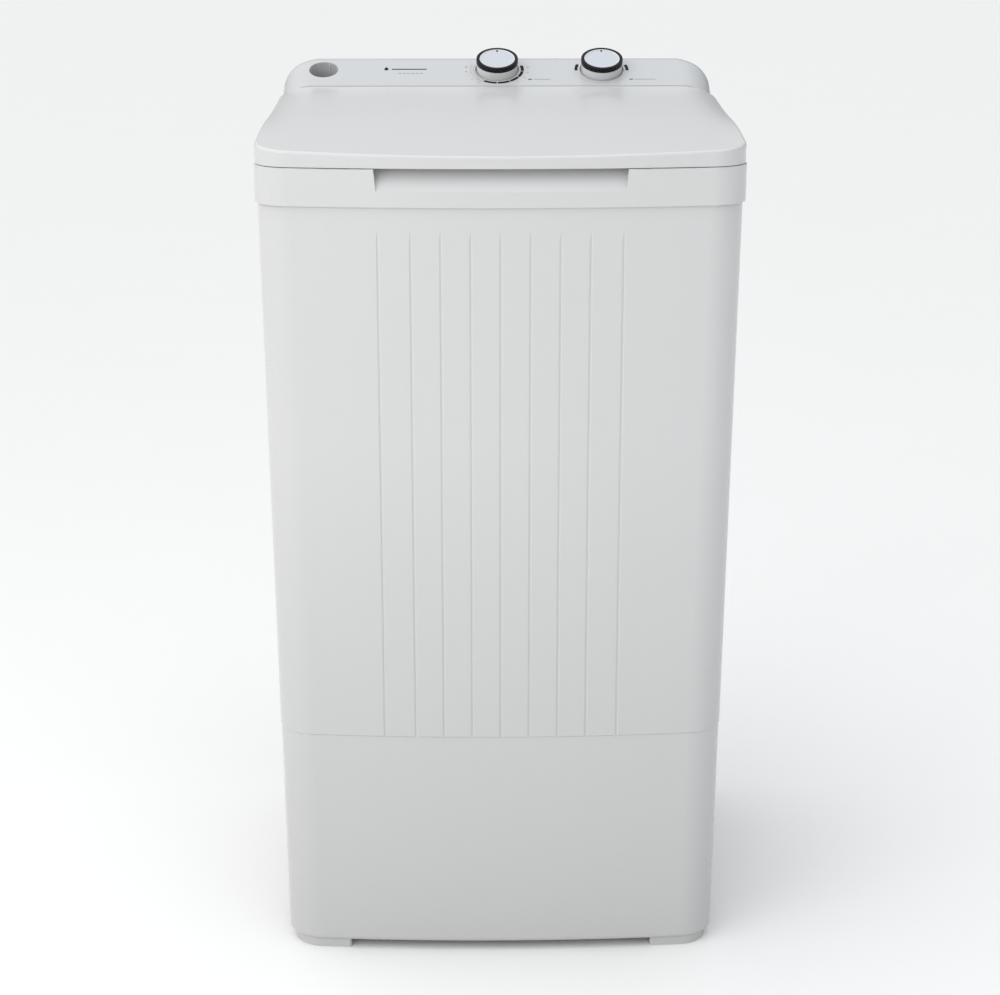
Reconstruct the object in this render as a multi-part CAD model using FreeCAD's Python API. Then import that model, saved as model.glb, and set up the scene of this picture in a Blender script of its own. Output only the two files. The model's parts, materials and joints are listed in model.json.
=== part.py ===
import FreeCAD, Part
import math
import os

# Single-tub, top-loading washing machine: plastic cabinet on a plastic base, hinged lid, rear control
# console with two dials, wash tub with a belt-driven pulsator, and a drain valve.
#
# Units are millimetres. The origin is on the floor under the middle of the machine: X to the right as
# seen from the front, Y from front to back, Z up.

V = FreeCAD.Vector

# ---------------------------------------------------------------- driving sizes
WIDTH = 520.0            # over the top band
DEPTH = 500.0            # from the middle of the bowed front to the back
FOOT_H = 10.0            # foot pads under the base
BASE_H = 255.5           # base skirt
CABINET_H = 594.0        # visible height of the cabinet
BAND_H = 40.0            # top band, up to the lid's seam

CORNER_R = 42.0          # vertical corners, in plan
BOW_TOP = 15.0           # how far the front bulges, at the band
BOW_BOTTOM = 8.0         # and at the floor
SIDE_DRAFT = 0.0138      # inward lean of the sides and back, mm per mm of height
FRONT_DRAFT = 0.0143     # inward lean of the front

WALL = 3.0               # cabinet, base and tub
SKIN = 2.5               # lid, console and top frame
FIT_GAP = 0.4            # between mouldings that slide together
SEAT_GAP = 0.3           # between a moving piece and what it rests on
RUN_GAP = 0.05           # radial play of a shaft in its bush
SEAM_STEP = 0.8          # the base stands this far inside the cabinet's skin
SEAM_R = 0.6             # edges on both sides of that seam
BASE_EDGE_R = 6.0
BAND_EDGE_R = 1.1

LAP = 9.0                # how far the band reaches down over the cabinet
LIP_H = 14.0             # locating lip of the base, inside the cabinet

GROOVE_W = 4.0           # moulded grooves on the front of the cabinet
GROOVE_DEEP = 1.1
GROOVE_PITCH = 31.5
OUTER_GROOVE_X = 129.0
GROOVES_PER_SIDE = 3     # evenly pitched grooves each side of the middle one
GROOVE_TOP_MARGIN = 24.0 # plain strip below the band
GROOVE_RUNOUT = 12.0     # length over which a groove fades in

RECESS_W = 266.0         # finger recess in the band, under the lid's lip
RECESS_H = 23.0
RECESS_DEEP = 17.0
RECESS_LEAN = 3.0        # how far each end of the recess leans in at the bottom

LID_SEAM = 0.8           # gap between the lid's skirt and the band
LID_INSET = 1.0          # the lid's skirt stands this far inside the band's face
LID_EDGE_R = 3.0
LID_REAR_R = 9.0         # rounded rear edge, concentric with the hinge
LID_REAR_GAP = 2.0       # between the lid's rear edge and the console
LID_FRONT_RISE = 13.0    # lid's top above the seam: front edge, then rear edge
LID_REAR_RISE = 43.0
LID_SWELL = 1.4          # how soon the lid's middle line rises on its way back; 1 is a straight ramp
LID_FRONT_SAG = 3.9      # the front's ends stand this much higher than its middle
LID_ROLL_W = 43.0        # width of the strip at each side where the lid's top rolls down
LID_ROLL_R = 75.0        # radius of that roll, at the rear
LID_ROLL_FROM = 0.28     # share of the lid's depth at which the roll starts, then where it is full
LID_ROLL_FULL = 0.8
REAR_RELIEF = 5.0        # the lid's skirt is cut short by this near the hinge
RELIEF_LENGTH = 12.0

CONSOLE_DEPTH = 100.0
CONSOLE_TILT = 25.0      # degrees, rising to the rear
CONSOLE_EDGE_R = 37.0
CONSOLE_RISE = LID_REAR_RISE - 0.2   # console's front edge above the band

DIAL_R = 25.0            # dials: radius over the grip ring
DIAL_SKIRT_R = 24.6
DIAL_FROM_FRONT = 36.7   # up the slope, from the console's front edge to the dial's centre
TIMER_X = 0.0
SELECTOR_X = 126.0
DIAL_H = 15.5            # above the console
DIAL_SKIRT_H = 9.6       # height of the white skirt, below the grip ring
DIAL_SINK = 3.0          # the skirt reaches this far into its dish
DISH_DEEP = 4.0
DISH_GAP = 1.6           # radial gap round the skirt
DIAL_SHAFT_R = 3.0
POINTER_W = 2.0
POINTER_L = 5.0
RING_T = 3.8             # radial width of the grip ring
FACE_SINK = 0.9          # the cap's face lies this far below the ring's crest

INLET_X = -209.0         # round socket for the fill hose
INLET_R = 17.5
INLET_L = 34.0
INLET_WALL = 2.4

TUB_GAP = 19.0           # between the cabinet's skin and the tub's, at the front and sides
TUB_REAR_GAP = 119.0     # service space behind the tub
TUB_CORNER_R = 75.0
TUB_DRAFT = 0.024
TUB_FLOOR_Z = 300.0      # the tub's inside floor
TUB_EDGE_R = 26.0        # rounding between wall and floor
MOUTH_GAP = 3.0          # the frame's rim hangs this far inside the tub's wall
MOUTH_RIM_H = 46.0

PULSATOR_R = 130.0
PULSATOR_LIFT = 3.0      # running gap above the tub's floor
PULSATOR_T = 7.0
PULSATOR_HUB_R = 34.0
PULSATOR_HUB_H = 46.0
FIN_COUNT = 6
FIN_T = 9.0
FIN_H = 20.0
SHAFT_R = 6.0
HOUSING_R = 21.0
HOUSING_L = 74.0
HOUSING_FLANGE_R = 58.0
BOSS_R = 16.0            # the part of the housing that stands up through the tub's floor
FLANGE_T = 5.0
BUSH_T = 3.0
BUSH_L = 16.0
SEAL_R = 12.0
SEAL_H = 5.0
SHAFT_IN_HUB = 25.0      # how far the shaft stands up into the pulsator

DRIVEN_R = 84.0          # pulleys, over their rims
WEB_HOLES = 6
DRIVER_R = 23.0
PULLEY_T = 16.0
BELT_W = 9.0
BELT_T = 6.0
BELT_SINK = 2.0          # the belt's back lies this far below the rims
PULLEY_Z = 204.0         # belt plane
MOTOR_X = 118.0
MOTOR_Y = 96.0           # from the tub's axis
MOTOR_R = 62.0
MOTOR_H = 104.0
MOTOR_Z = 66.0           # underside of the motor
STATOR_R = 36.0          # stator's bore
AIR_GAP = 0.5
BRACKET_T = 3.0
GROMMET_H = 10.0
GROMMET_R = 9.0

VALVE_X = 126.0          # drain valve, in the service space
VALVE_R = 29.0
VALVE_H = 78.0
VALVE_Z = 212.0          # underside of the valve's chamber
VALVE_LIFT = 12.0
SEAT_H = 34.0            # valve seat above that underside, then the centre of its inlet port
PORT_H = 58.0
PORT_R = 13.0
STEM_R = 4.0
CAP_H = 4.0
STUB_H = 17.0            # height of the overflow stub above the valve's underside
SUMP_BORE_R = 12.0
SUMP_MARGIN = 4.0        # flat floor between the drain hole and the rounded edge
OVERFLOW_R = 11.0
OVERFLOW_X = 60.0
OVERFLOW_DROP = 134.0    # from the tub's top down to the overflow hole
BELLOWS_R = 15.0
BELLOWS_FOLD = 4.0
BELLOWS_FOLDS = 5
BELLOWS_T = 1.5
STRAP_W = 12.0
STRAP_T = 3.0
SPIGOT_R = 15.0
SPIGOT_BORE_R = 12.0
SPIGOT_Z = 70.0
SPIGOT_X = -170.0

PANEL_W = 300.0          # rear service panel
PANEL_H = 176.0
PANEL_T = 2.0
PANEL_Z = 52.0
PANEL_LAP = 14.0
LOUVRES = 7

GLAND_R = 9.0            # cord entry
GLAND_BORE_R = 4.0
GLAND_X = 185.0
GLAND_Z = 70.0

CHUTE_W = 44.0           # trough from the fill socket to the tub
CHUTE_T = 1.8
UNIT_W = 54.0            # timer and selector units under the console
UNIT_H = 38.0
SHAFT_IN_UNIT = 14.0     # how far the timer's shaft reaches into its unit
CAPACITOR_X = -150.0
CAPACITOR_Y = 60.0
CONSOLE_SCREWS = ((-160.0, 16.0), (-50.0, 12.0), (62.0, 12.0), (206.0, 22.0))   # X, and in from the back
SHELF_HOLES = ((-40.0, 40.0), (100.0, 160.0))    # in the frame's rear shelf, X ranges
SHELF_HOLE_Y = (158.0, 226.0)
DECK_HOLES = ((-24.0, 24.0), (110.0, 150.0))     # in the tub's deck
EAR_X = 200.0            # inner face of each hinge ear
EAR_T = 6.0
PIN_R = 3.0
LUG_GAP = 1.0
BUMPER_H = 4.0

SCREW_R = 2.0
SCREW_HEAD_R = 4.0
SCREW_HEAD_H = 2.4
SCREW_L = 12.0

FOOT_W = 66.0
FOOT_INSET_SIDE = 7.5
FOOT_INSET_FRONT = 5.0

# ---------------------------------------------------------------- levels and planes worked out from them
SEAM_Z = FOOT_H + BASE_H
BAND_Z = SEAM_Z + CABINET_H
LID_Z = BAND_Z + BAND_H
CABINET_TOP = BAND_Z + LAP
BODY_STEP = SKIN + FIT_GAP
FRONT_Y = -DEPTH / 2
REAR_Y = DEPTH / 2
HALF_W = WIDTH / 2
CONSOLE_Y = REAR_Y - CONSOLE_DEPTH
CONSOLE_Z = LID_Z + CONSOLE_RISE
LID_REAR_Y = CONSOLE_Y - LID_REAR_GAP
HINGE_Y = LID_REAR_Y - LID_REAR_R
HINGE_Z = LID_Z + LID_REAR_RISE - LID_REAR_R
TILT = math.radians(CONSOLE_TILT)
NORMAL = V(0, -math.sin(TILT), math.cos(TILT))
UPSLOPE = V(0, math.cos(TILT), math.sin(TILT))
TUB_HALF_W = HALF_W - BODY_STEP - TUB_GAP
TUB_FRONT = FRONT_Y + BODY_STEP + TUB_GAP
TUB_REAR = REAR_Y - BODY_STEP - TUB_REAR_GAP
TUB_TOP = CABINET_TOP + WALL
AXIS_Y = (TUB_FRONT + TUB_REAR) / 2      # the pulsator's axis
EAR_R = LID_REAR_R - SKIN - 0.6
PIN_L = EAR_T + LUG_GAP + 12.0
FLOOR_UNDER = TUB_FLOOR_Z - WALL
VALVE_Y = TUB_REAR + VALVE_R + 12.0
BASE_FLOOR = FOOT_H + 4.0
HOUSING_Z = FLOOR_UNDER - HOUSING_L
BRACKET_Z = MOTOR_Z - GROMMET_H - BRACKET_T
MOTOR_AT = V(MOTOR_X, AXIS_Y + MOTOR_Y, 0)
AXIS_AT = V(0, AXIS_Y, 0)
CHUTE_Z = TUB_TOP + 6.0
UNIT_TOP = -DISH_DEEP - SKIN             # heights along a dial's axis, from the console's face
SHAFT_FOOT = UNIT_TOP - SHAFT_IN_UNIT
DRUM_R = VALVE_LIFT / (math.pi / 2)      # a quarter turn lifts the valve fully
SUMP_Y = TUB_REAR - TUB_DRAFT * (TUB_TOP - TUB_FLOOR_Z) - WALL - TUB_EDGE_R - SUMP_BORE_R - SUMP_MARGIN
SHAFT_TOP = TUB_FLOOR_Z + PULSATOR_LIFT + SHAFT_IN_HUB
CAPACITOR_AT = V(CAPACITOR_X, CAPACITOR_Y, BASE_FLOOR)
VALVE_TOP = VALVE_Z + VALVE_H
SEAT_Z = VALVE_Z + SEAT_H
OVERFLOW_Z = TUB_TOP - OVERFLOW_DROP
VALVE_PORT_Z = VALVE_Z + PORT_H
UP = V(0, 0, 1)


# ---------------------------------------------------------------- shape helpers
def line(a, b):
    return Part.LineSegment(a, b).toShape()


def arc(a, mid, b):
    return Part.Arc(a, mid, b).toShape()


def outline(z, half_w, front, rear, bow, front_r, rear_r):
    """One level of the body: bowed front, straight sides and back, rounded corners."""
    reach = half_w - front_r
    big = (reach * reach + bow * bow) / (2 * bow)
    big_y = front + big
    corner_y = big_y - math.sqrt((big - front_r) ** 2 - reach ** 2)
    turn = math.atan2(reach, big_y - corner_y)
    half_turn = (turn + math.pi / 2) / 2

    def on_front(angle, side):
        return V(side * big * math.sin(angle), big_y - big * math.cos(angle), z)

    def on_corner(angle, side):
        return V(side * (reach + front_r * math.sin(angle)), corner_y - front_r * math.cos(angle), z)

    def on_rear(angle, side):
        x = half_w - rear_r + rear_r * math.cos(angle)
        return V(side * x, rear - rear_r + rear_r * math.sin(angle), z)

    quarter = math.pi / 2
    edges = [arc(on_front(turn, -1), V(0, front, z), on_front(turn, 1)),
             arc(on_front(turn, 1), on_corner(half_turn, 1), V(half_w, corner_y, z)),
             line(V(half_w, corner_y, z), on_rear(0, 1)),
             arc(on_rear(0, 1), on_rear(quarter / 2, 1), on_rear(quarter, 1)),
             line(on_rear(quarter, 1), on_rear(quarter, -1)),
             arc(on_rear(quarter, -1), on_rear(quarter / 2, -1), on_rear(0, -1)),
             line(on_rear(0, -1), V(-half_w, corner_y, z)),
             arc(V(-half_w, corner_y, z), on_corner(half_turn, -1), on_front(turn, -1))]
    return Part.Wire(edges)


def body_outline(z, inset=0.0):
    """The cabinet's and base's skin at one height, leaning in towards the floor."""
    drop = BAND_Z - z
    bow = BOW_TOP - (BOW_TOP - BOW_BOTTOM) * drop / BAND_Z
    return outline(z, HALF_W - BODY_STEP - SIDE_DRAFT * drop - inset,
                   FRONT_Y + BODY_STEP + FRONT_DRAFT * drop + inset,
                   REAR_Y - BODY_STEP - SIDE_DRAFT * drop - inset,
                   bow, CORNER_R - inset, CORNER_R - inset)


def band_outline(z, inset=0.0):
    corner = CORNER_R - inset
    return outline(z, HALF_W - inset, FRONT_Y + inset, REAR_Y - inset, BOW_TOP, corner, corner)


def tub_outline(z, inset=0.0):
    lean = TUB_DRAFT * (TUB_TOP - z) + inset
    return outline(z, TUB_HALF_W - lean, TUB_FRONT + lean, TUB_REAR - lean,
                   BOW_TOP, TUB_CORNER_R - inset, TUB_CORNER_R - inset)


def lid_outline(z, inset=0.0):
    rear_r = 3.0 - min(inset, 2.0)
    return outline(z, HALF_W - LID_INSET - inset, FRONT_Y + LID_INSET + inset, LID_REAR_Y - inset,
                   BOW_TOP, CORNER_R - LID_INSET - inset, rear_r)


def between(low, high):
    """Solid between two outlines, straight up the walls."""
    return Part.makeLoft([low, high], True, True)


def body_block(low_z, high_z, inset=0.0):
    return between(body_outline(low_z, inset), body_outline(high_z, inset))


def band_block(low_z, high_z, inset=0.0):
    return between(band_outline(low_z, inset), band_outline(high_z, inset))


def tub_block(low_z, high_z, inset=0.0):
    return between(tub_outline(low_z, inset), tub_outline(high_z, inset))


def box(x0, x1, y0, y1, z0, z1):
    return Part.makeBox(x1 - x0, y1 - y0, z1 - z0, V(x0, y0, z0))


def rod(radius, start, direction, length):
    return Part.makeCylinder(radius, length, start, direction)


def ring(outer, inner, start, direction, length):
    past = direction * 1.0
    return rod(outer, start, direction, length).cut(rod(inner, start - past, direction, length + 2.0))


def prism(points, direction):
    return Part.Face(Part.makePolygon(points + [points[0]])).extrude(direction)


def spun(profile, centre):
    """Solid of revolution about a vertical axis; profile is a list of (radius, z)."""
    points = [V(centre.x + r, centre.y, z) for r, z in profile]
    face = Part.Face(Part.makePolygon(points + [points[0]]))
    return face.revolve(V(centre.x, centre.y, 0), V(0, 0, 1), 360)


def fuse(shapes):
    whole = shapes[0].multiFuse(shapes[1:]) if len(shapes) > 1 else shapes[0]
    return whole.removeSplitter()


def edges_where(shape, wanted):
    return [e for e in shape.Edges if wanted(e)]


def edges_at(shape, z):
    """The edges that lie at one height."""
    return edges_where(shape, lambda e: abs(e.BoundBox.ZMin - z) < 0.01 and abs(e.BoundBox.ZMax - z) < 0.01)


def screw(head_at, direction, length=SCREW_L):
    """Pan-head screw: head_at is where the head's underside seats, direction is the way out."""
    head = rod(SCREW_HEAD_R, head_at, direction, SCREW_HEAD_H)
    shank = rod(SCREW_R, head_at - direction * length, direction, length)
    slot_far = head_at + direction * (SCREW_HEAD_H - 0.8)
    cross = rod(1.2, slot_far, direction, 2.0)
    return head.fuse(shank).cut(cross).removeSplitter()


def screw_hole(head_at, direction, length=SCREW_L):
    return rod(SCREW_R + 0.05, head_at - direction * (length + 1), direction, length + 2)


def dial_point(x, along, height):
    """A point by a dial: along the console's slope from the dial's centre, and above its face."""
    foot = V(x, CONSOLE_Y, CONSOLE_Z) + UPSLOPE * (DIAL_FROM_FRONT + along)
    return foot + NORMAL * height


# ---------------------------------------------------------------- casings
def groove_positions():
    inner = [GROOVE_PITCH * n for n in range(-GROOVES_PER_SIDE, GROOVES_PER_SIDE + 1)]
    return inner + [-OUTER_GROOVE_X, OUTER_GROOVE_X]


def front_surface(x, z, inset=0.0):
    """Y of the body's front face at one place."""
    drop = BAND_Z - z
    half_w = HALF_W - BODY_STEP - SIDE_DRAFT * drop - inset
    bow = BOW_TOP - (BOW_TOP - BOW_BOTTOM) * drop / BAND_Z
    reach = half_w - CORNER_R + inset
    big = (reach * reach + bow * bow) / (2 * bow)
    return FRONT_Y + BODY_STEP + FRONT_DRAFT * drop + inset + big - math.sqrt(big * big - x * x)


def groove(x):
    """V-shaped cutter that follows the leaning front and fades out at its top."""
    top = BAND_Z - GROOVE_TOP_MARGIN

    def section(z, deep, wide):
        y = front_surface(x, z)
        out = 1.0
        spread = wide / 2 * (1 + out / max(deep, 0.1))
        return Part.makePolygon([V(x - spread, y - out, z), V(x, y + deep, z), V(x + spread, y - out, z),
                                 V(x - spread, y - out, z)])

    full = [section(SEAM_Z - 1, GROOVE_DEEP, GROOVE_W), section(top - GROOVE_RUNOUT, GROOVE_DEEP, GROOVE_W)]
    fade = [section(top - GROOVE_RUNOUT, GROOVE_DEEP, GROOVE_W), section(top, 0.12, 0.5)]
    return Part.makeLoft(full, True, True).fuse(Part.makeLoft(fade, True, True))


def make_cabinet():
    outer = body_block(SEAM_Z, CABINET_TOP)
    outer = outer.makeFillet(SEAM_R, edges_at(outer, SEAM_Z))
    shell = outer.cut(body_block(SEAM_Z - 1, CABINET_TOP + 1, WALL))
    for x in groove_positions():
        shell = shell.cut(groove(x))
    # a rib inside each side wall steadies the tub
    for side in (-1, 1):
        rib_x = sorted((side * (TUB_HALF_W - 2.0), side * HALF_W))
        rib = box(rib_x[0], rib_x[1], AXIS_Y - 1.5, AXIS_Y + 1.5, BAND_Z - 60, BAND_Z - 20)
        rib = rib.common(body_block(SEAM_Z, CABINET_TOP, WALL / 2))
        shell = shell.fuse(rib.cut(tub_block(TUB_FLOOR_Z, TUB_TOP, -SEAT_GAP)))
    return shell.removeSplitter()


def panel_screws():
    """Head seats of the service panel's four screws."""
    seats = []
    for side in (-1, 1):
        for z in (PANEL_Z + PANEL_LAP / 2, PANEL_Z + PANEL_H - PANEL_LAP / 2):
            rear = REAR_Y - BODY_STEP - SIDE_DRAFT * (BAND_Z - z) - SEAM_STEP
            seats.append(V(side * (PANEL_W / 2 - PANEL_LAP / 2), rear + PANEL_T + 0.2, z))
    return seats


def around_motor(reach):
    """The four corners of a square about the motor's axis."""
    return [MOTOR_AT + V(sx * reach, sy * reach, 0) for sx in (-1, 1) for sy in (-1, 1)]


def bracket_posts():
    return around_motor(MOTOR_R + 14.0)


def motor_mounts():
    return around_motor(MOTOR_R * 0.82)


def make_base():
    outer = body_block(FOOT_H, SEAM_Z, SEAM_STEP)
    outer = outer.makeFillet(BASE_EDGE_R, edges_at(outer, FOOT_H))
    outer = outer.makeFillet(SEAM_R, edges_at(outer, SEAM_Z))
    shell = outer.cut(body_block(BASE_FLOOR, SEAM_Z + 1, SEAM_STEP + WALL))
    lip_in = WALL + FIT_GAP
    lip = body_block(SEAM_Z - 12.0, SEAM_Z + LIP_H, lip_in).cut(
        body_block(SEAM_Z - 13.0, SEAM_Z + LIP_H + 1, lip_in + WALL))
    pieces = [shell, lip]
    for post in bracket_posts():
        pieces.append(rod(9.0, V(post.x, post.y, BASE_FLOOR - 1), UP, BRACKET_Z - BASE_FLOOR + 1))
    base = fuse(pieces)
    for n in range(8):
        x = -150.0 + 16.0 * n
        base = base.cut(box(x - 3, x + 3, -150, -40, FOOT_H - 1, BASE_FLOOR + 1))
    open_half = PANEL_W / 2 - PANEL_LAP
    open_low, open_high = PANEL_Z + PANEL_LAP, PANEL_Z + PANEL_H - PANEL_LAP
    base = base.cut(box(-open_half, open_half, 200, REAR_Y, open_low, open_high))
    for seat in panel_screws():
        base = base.cut(screw_hole(seat, V(0, 1, 0)))
    for post in bracket_posts():
        base = base.cut(screw_hole(V(post.x, post.y, BRACKET_Z + BRACKET_T), UP))
    base = base.cut(rod(SPIGOT_R + 0.2, V(SPIGOT_X, REAR_Y - 40, SPIGOT_Z), V(0, 1, 0), 60))
    base = base.cut(rod(GLAND_R + 0.2, V(GLAND_X, REAR_Y - 40, GLAND_Z), V(0, 1, 0), 60))
    return base.removeSplitter()


def make_feet():
    """Pads under the four corners: front pair, rear pair."""
    feet = {}
    edge_x = HALF_W - BODY_STEP - SIDE_DRAFT * BAND_Z - FOOT_INSET_SIDE
    front = FRONT_Y + BODY_STEP + FRONT_DRAFT * BAND_Z + FOOT_INSET_FRONT
    rear = REAR_Y - BODY_STEP - SIDE_DRAFT * BAND_Z - FOOT_INSET_FRONT
    corner = CORNER_R - FOOT_INSET_SIDE
    block = between(*[outline(z, edge_x, front, rear, BOW_BOTTOM, corner, corner) for z in (0, FOOT_H)])
    for y0, y1, name in ((front, front + FOOT_W, "front_feet"), (rear - FOOT_W, rear, "rear_feet")):
        pads = []
        for side in (-1, 1):
            x0, x1 = sorted((side * (edge_x - FOOT_W), side * edge_x))
            pad = block.common(box(x0, x1, y0, y1, 0, FOOT_H))
            inner = edges_where(pad, lambda e: is_vertical(e)
                                and abs(abs(e.BoundBox.Center.x) - (edge_x - FOOT_W)) < 0.5)
            pads.append(pad.makeFillet(3.0, inner))
        feet[name] = Part.makeCompound(pads)
    return feet


def recess_cutters():
    """Finger recess: what is cut from the band's face, and the hollow left behind its skin."""
    half = RECESS_W / 2
    low = LID_Z - RECESS_H
    slope = RECESS_DEEP / RECESS_H
    over = 6.0

    def sloped(inset, down=0.0):
        return between(band_outline(low - down, inset - slope * down),
                       band_outline(LID_Z + over, inset + slope * (RECESS_H + over)))

    lean = RECESS_LEAN

    def zone(grow):
        wide, narrow = half + grow, half - lean + grow
        bottom = low - grow
        points = [V(-wide, FRONT_Y - 5, LID_Z + over), V(wide, FRONT_Y - 5, LID_Z + over),
                  V(narrow, FRONT_Y - 5, bottom), V(-narrow, FRONT_Y - 5, bottom)]
        return prism(points, V(0, 60, 0))

    carve = zone(0).cut(sloped(0))
    keep_back = zone(SKIN).cut(sloped(SKIN, SKIN))
    return carve, keep_back


def ear(side):
    """Hinge ear on the top frame, bored for the lid's pin."""
    x = side * EAR_X if side > 0 else side * EAR_X - EAR_T
    start = V(x, HINGE_Y, HINGE_Z)
    round_end = rod(EAR_R, start, V(1, 0, 0), EAR_T)
    stalk = box(x, x + EAR_T, HINGE_Y - EAR_R, HINGE_Y + 1.0, LID_Z - SKIN, HINGE_Z)
    return round_end.fuse(stalk).cut(rod(PIN_R + RUN_GAP, start - V(1, 0, 0), V(1, 0, 0), EAR_T + 2))


def mouth_block(low_z, high_z, inset=0.0):
    lean = WALL + MOUTH_GAP + inset
    levels = [outline(z, TUB_HALF_W - lean, TUB_FRONT + lean, TUB_REAR - lean, BOW_TOP,
                      TUB_CORNER_R - lean, TUB_CORNER_R - lean) for z in (low_z, high_z)]
    return between(*levels)


def make_top_frame():
    carve, keep_back = recess_cutters()
    outer = band_block(BAND_Z, LID_Z)
    outer = outer.makeFillet(BAND_EDGE_R, edges_at(outer, BAND_Z) + edges_at(outer, LID_Z)).cut(carve)
    hollow = band_block(BAND_Z - 1, LID_Z - SKIN, SKIN).cut(keep_back)
    frame = outer.cut(hollow)
    frame = frame.cut(mouth_block(LID_Z - SKIN - 1, LID_Z + 1, SKIN))
    rim = mouth_block(LID_Z - MOUTH_RIM_H, LID_Z - SKIN / 2).cut(
        mouth_block(LID_Z - MOUTH_RIM_H - 1, LID_Z + 1, SKIN))
    frame = fuse([frame, rim, ear(-1), ear(1)])
    frame = frame.cut(chute_room())
    # wires and the drain's cord pass through the rear shelf
    for x0, x1 in SHELF_HOLES:
        frame = frame.cut(box(x0, x1, SHELF_HOLE_Y[0], SHELF_HOLE_Y[1], LID_Z - SKIN - 1, LID_Z + 1))
    for seat in console_screw_seats():
        frame = frame.cut(screw_hole(seat, V(0, 0, -1)))
    return frame.removeSplitter()


def console_screw_seats():
    """Where the screws' heads seat, under the frame's rear shelf."""
    return [V(x, REAR_Y - back, LID_Z - SKIN) for x, back in CONSOLE_SCREWS]


def console_block(inset):
    """The console's solid wedge with its rounded top, `inset` inside its outer face."""
    rise = CONSOLE_DEPTH * math.tan(TILT)
    drop = inset / math.cos(TILT)
    front = CONSOLE_Y + inset
    lift = inset * math.tan(TILT)
    points = [V(-WIDTH, front, LID_Z - 5), V(-WIDTH, front, CONSOLE_Z - drop + lift),
              V(-WIDTH, REAR_Y + 10, CONSOLE_Z + rise - drop + 10 * math.tan(TILT)),
              V(-WIDTH, REAR_Y + 10, LID_Z - 5)]
    wedge = prism(points, V(2 * WIDTH, 0, 0))
    plan = between(band_outline(LID_Z - (1.0 if inset else 0.0), inset), band_outline(LID_Z + 120, inset))
    body = wedge.common(plan)
    radius = CONSOLE_EDGE_R - inset

    def top_edge(e):
        mid = e.BoundBox.Center
        high = e.BoundBox.ZMin > CONSOLE_Z - drop - 1 and mid.y > CONSOLE_Y + inset + 2
        return high and (e.BoundBox.ZLength < rise + 1) and not is_vertical(e)

    return body.makeFillet(radius, edges_where(body, top_edge))


def is_vertical(e):
    return e.BoundBox.XLength < 0.01 and e.BoundBox.YLength < 0.01


def make_console():
    shell = console_block(0.0).cut(console_block(SKIN))
    pieces = [shell]
    for x in (TIMER_X, SELECTOR_X):
        boss = rod(DIAL_R + DISH_GAP + SKIN, dial_point(x, 0, -DISH_DEEP - SKIN), NORMAL, DISH_DEEP + SKIN)
        pieces.append(boss.common(console_block(0.5)))
    socket = rod(INLET_R + INLET_WALL, dial_point(INLET_X, 0, -INLET_L), NORMAL, INLET_L)
    pieces.append(socket.common(console_block(0.5)))
    inside = console_block(SKIN / 2)
    for seat in console_screw_seats():
        pieces.append(rod(5.0, V(seat.x, seat.y, LID_Z), UP, 90.0).common(inside))
    console = fuse(pieces)
    for seat in console_screw_seats():
        console = console.cut(screw_hole(seat, V(0, 0, -1)))
    for x in (TIMER_X, SELECTOR_X):
        console = console.cut(rod(DIAL_R + DISH_GAP, dial_point(x, 0, -DISH_DEEP), NORMAL, DISH_DEEP + 5))
        console = console.cut(rod(DIAL_SHAFT_R + 1.5, dial_point(x, 0, -DISH_DEEP - 10), NORMAL, 30))
    console = console.cut(rod(INLET_R, dial_point(INLET_X, 0, -INLET_L - 1), NORMAL, INLET_L + 6))
    return console.removeSplitter()


# ---------------------------------------------------------------- lid
def lid_top(x, y):
    """Height of the lid's outer top."""
    back = min(1.0, max(0.0, (y - FRONT_Y) / (LID_REAR_Y - FRONT_Y)))
    middle = LID_FRONT_RISE + (LID_REAR_RISE - LID_FRONT_RISE) * (1 - (1 - back) ** LID_SWELL)
    sag = LID_FRONT_SAG * (1 - back) * (x / HALF_W) ** 2
    over = max(0.0, abs(x) - (HALF_W - LID_ROLL_W))
    roll = LID_ROLL_R - math.sqrt(LID_ROLL_R ** 2 - over ** 2)
    share = min(1.0, max(0.0, (back - LID_ROLL_FROM) / (LID_ROLL_FULL - LID_ROLL_FROM)))
    return LID_Z + middle + sag - roll * share


def lid_crown(down):
    """Everything under the lid's top, lowered by `down`."""
    floor = LID_Z - 40.0
    reach = HALF_W + 2.0
    shares = (-1.0, -0.935, -0.87, -0.78, -0.57, -0.29, 0.0, 0.29, 0.57, 0.78, 0.87, 0.935, 1.0)
    wires = []
    for y in (FRONT_Y - 6, FRONT_Y + 40, FRONT_Y + 110, FRONT_Y + 200, FRONT_Y + 300, LID_REAR_Y + 6):
        points = [V(share * reach, y, lid_top(share * reach, y) - down) for share in shares]
        curve = Part.BSplineCurve()
        curve.interpolate(points)
        left, right = points[0], points[-1]
        low_left, low_right = V(left.x, y, floor), V(right.x, y, floor)
        wires.append(Part.Wire([curve.toShape(), line(right, low_right), line(low_right, low_left),
                                line(low_left, left)]))
    return Part.makeLoft(wires, True, False)


def lid_rear_profile(inset):
    """Prism that rounds the lid's rear edge about the hinge's axis."""
    r = LID_REAR_R - inset
    x, floor, front = -WIDTH, LID_Z - 20.0, FRONT_Y - 20.0
    top, back = V(x, HINGE_Y, HINGE_Z + r), V(x, HINGE_Y + r, HINGE_Z)
    middle = V(x, HINGE_Y + r * math.sqrt(0.5), HINGE_Z + r * math.sqrt(0.5))
    corners = [back, V(x, back.y, floor), V(x, front, floor), V(x, front, top.z), top]
    edges = [arc(top, middle, back)] + [line(a, b) for a, b in zip(corners, corners[1:])]
    return Part.Face(Part.Wire(edges)).extrude(V(2 * WIDTH, 0, 0))


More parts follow.
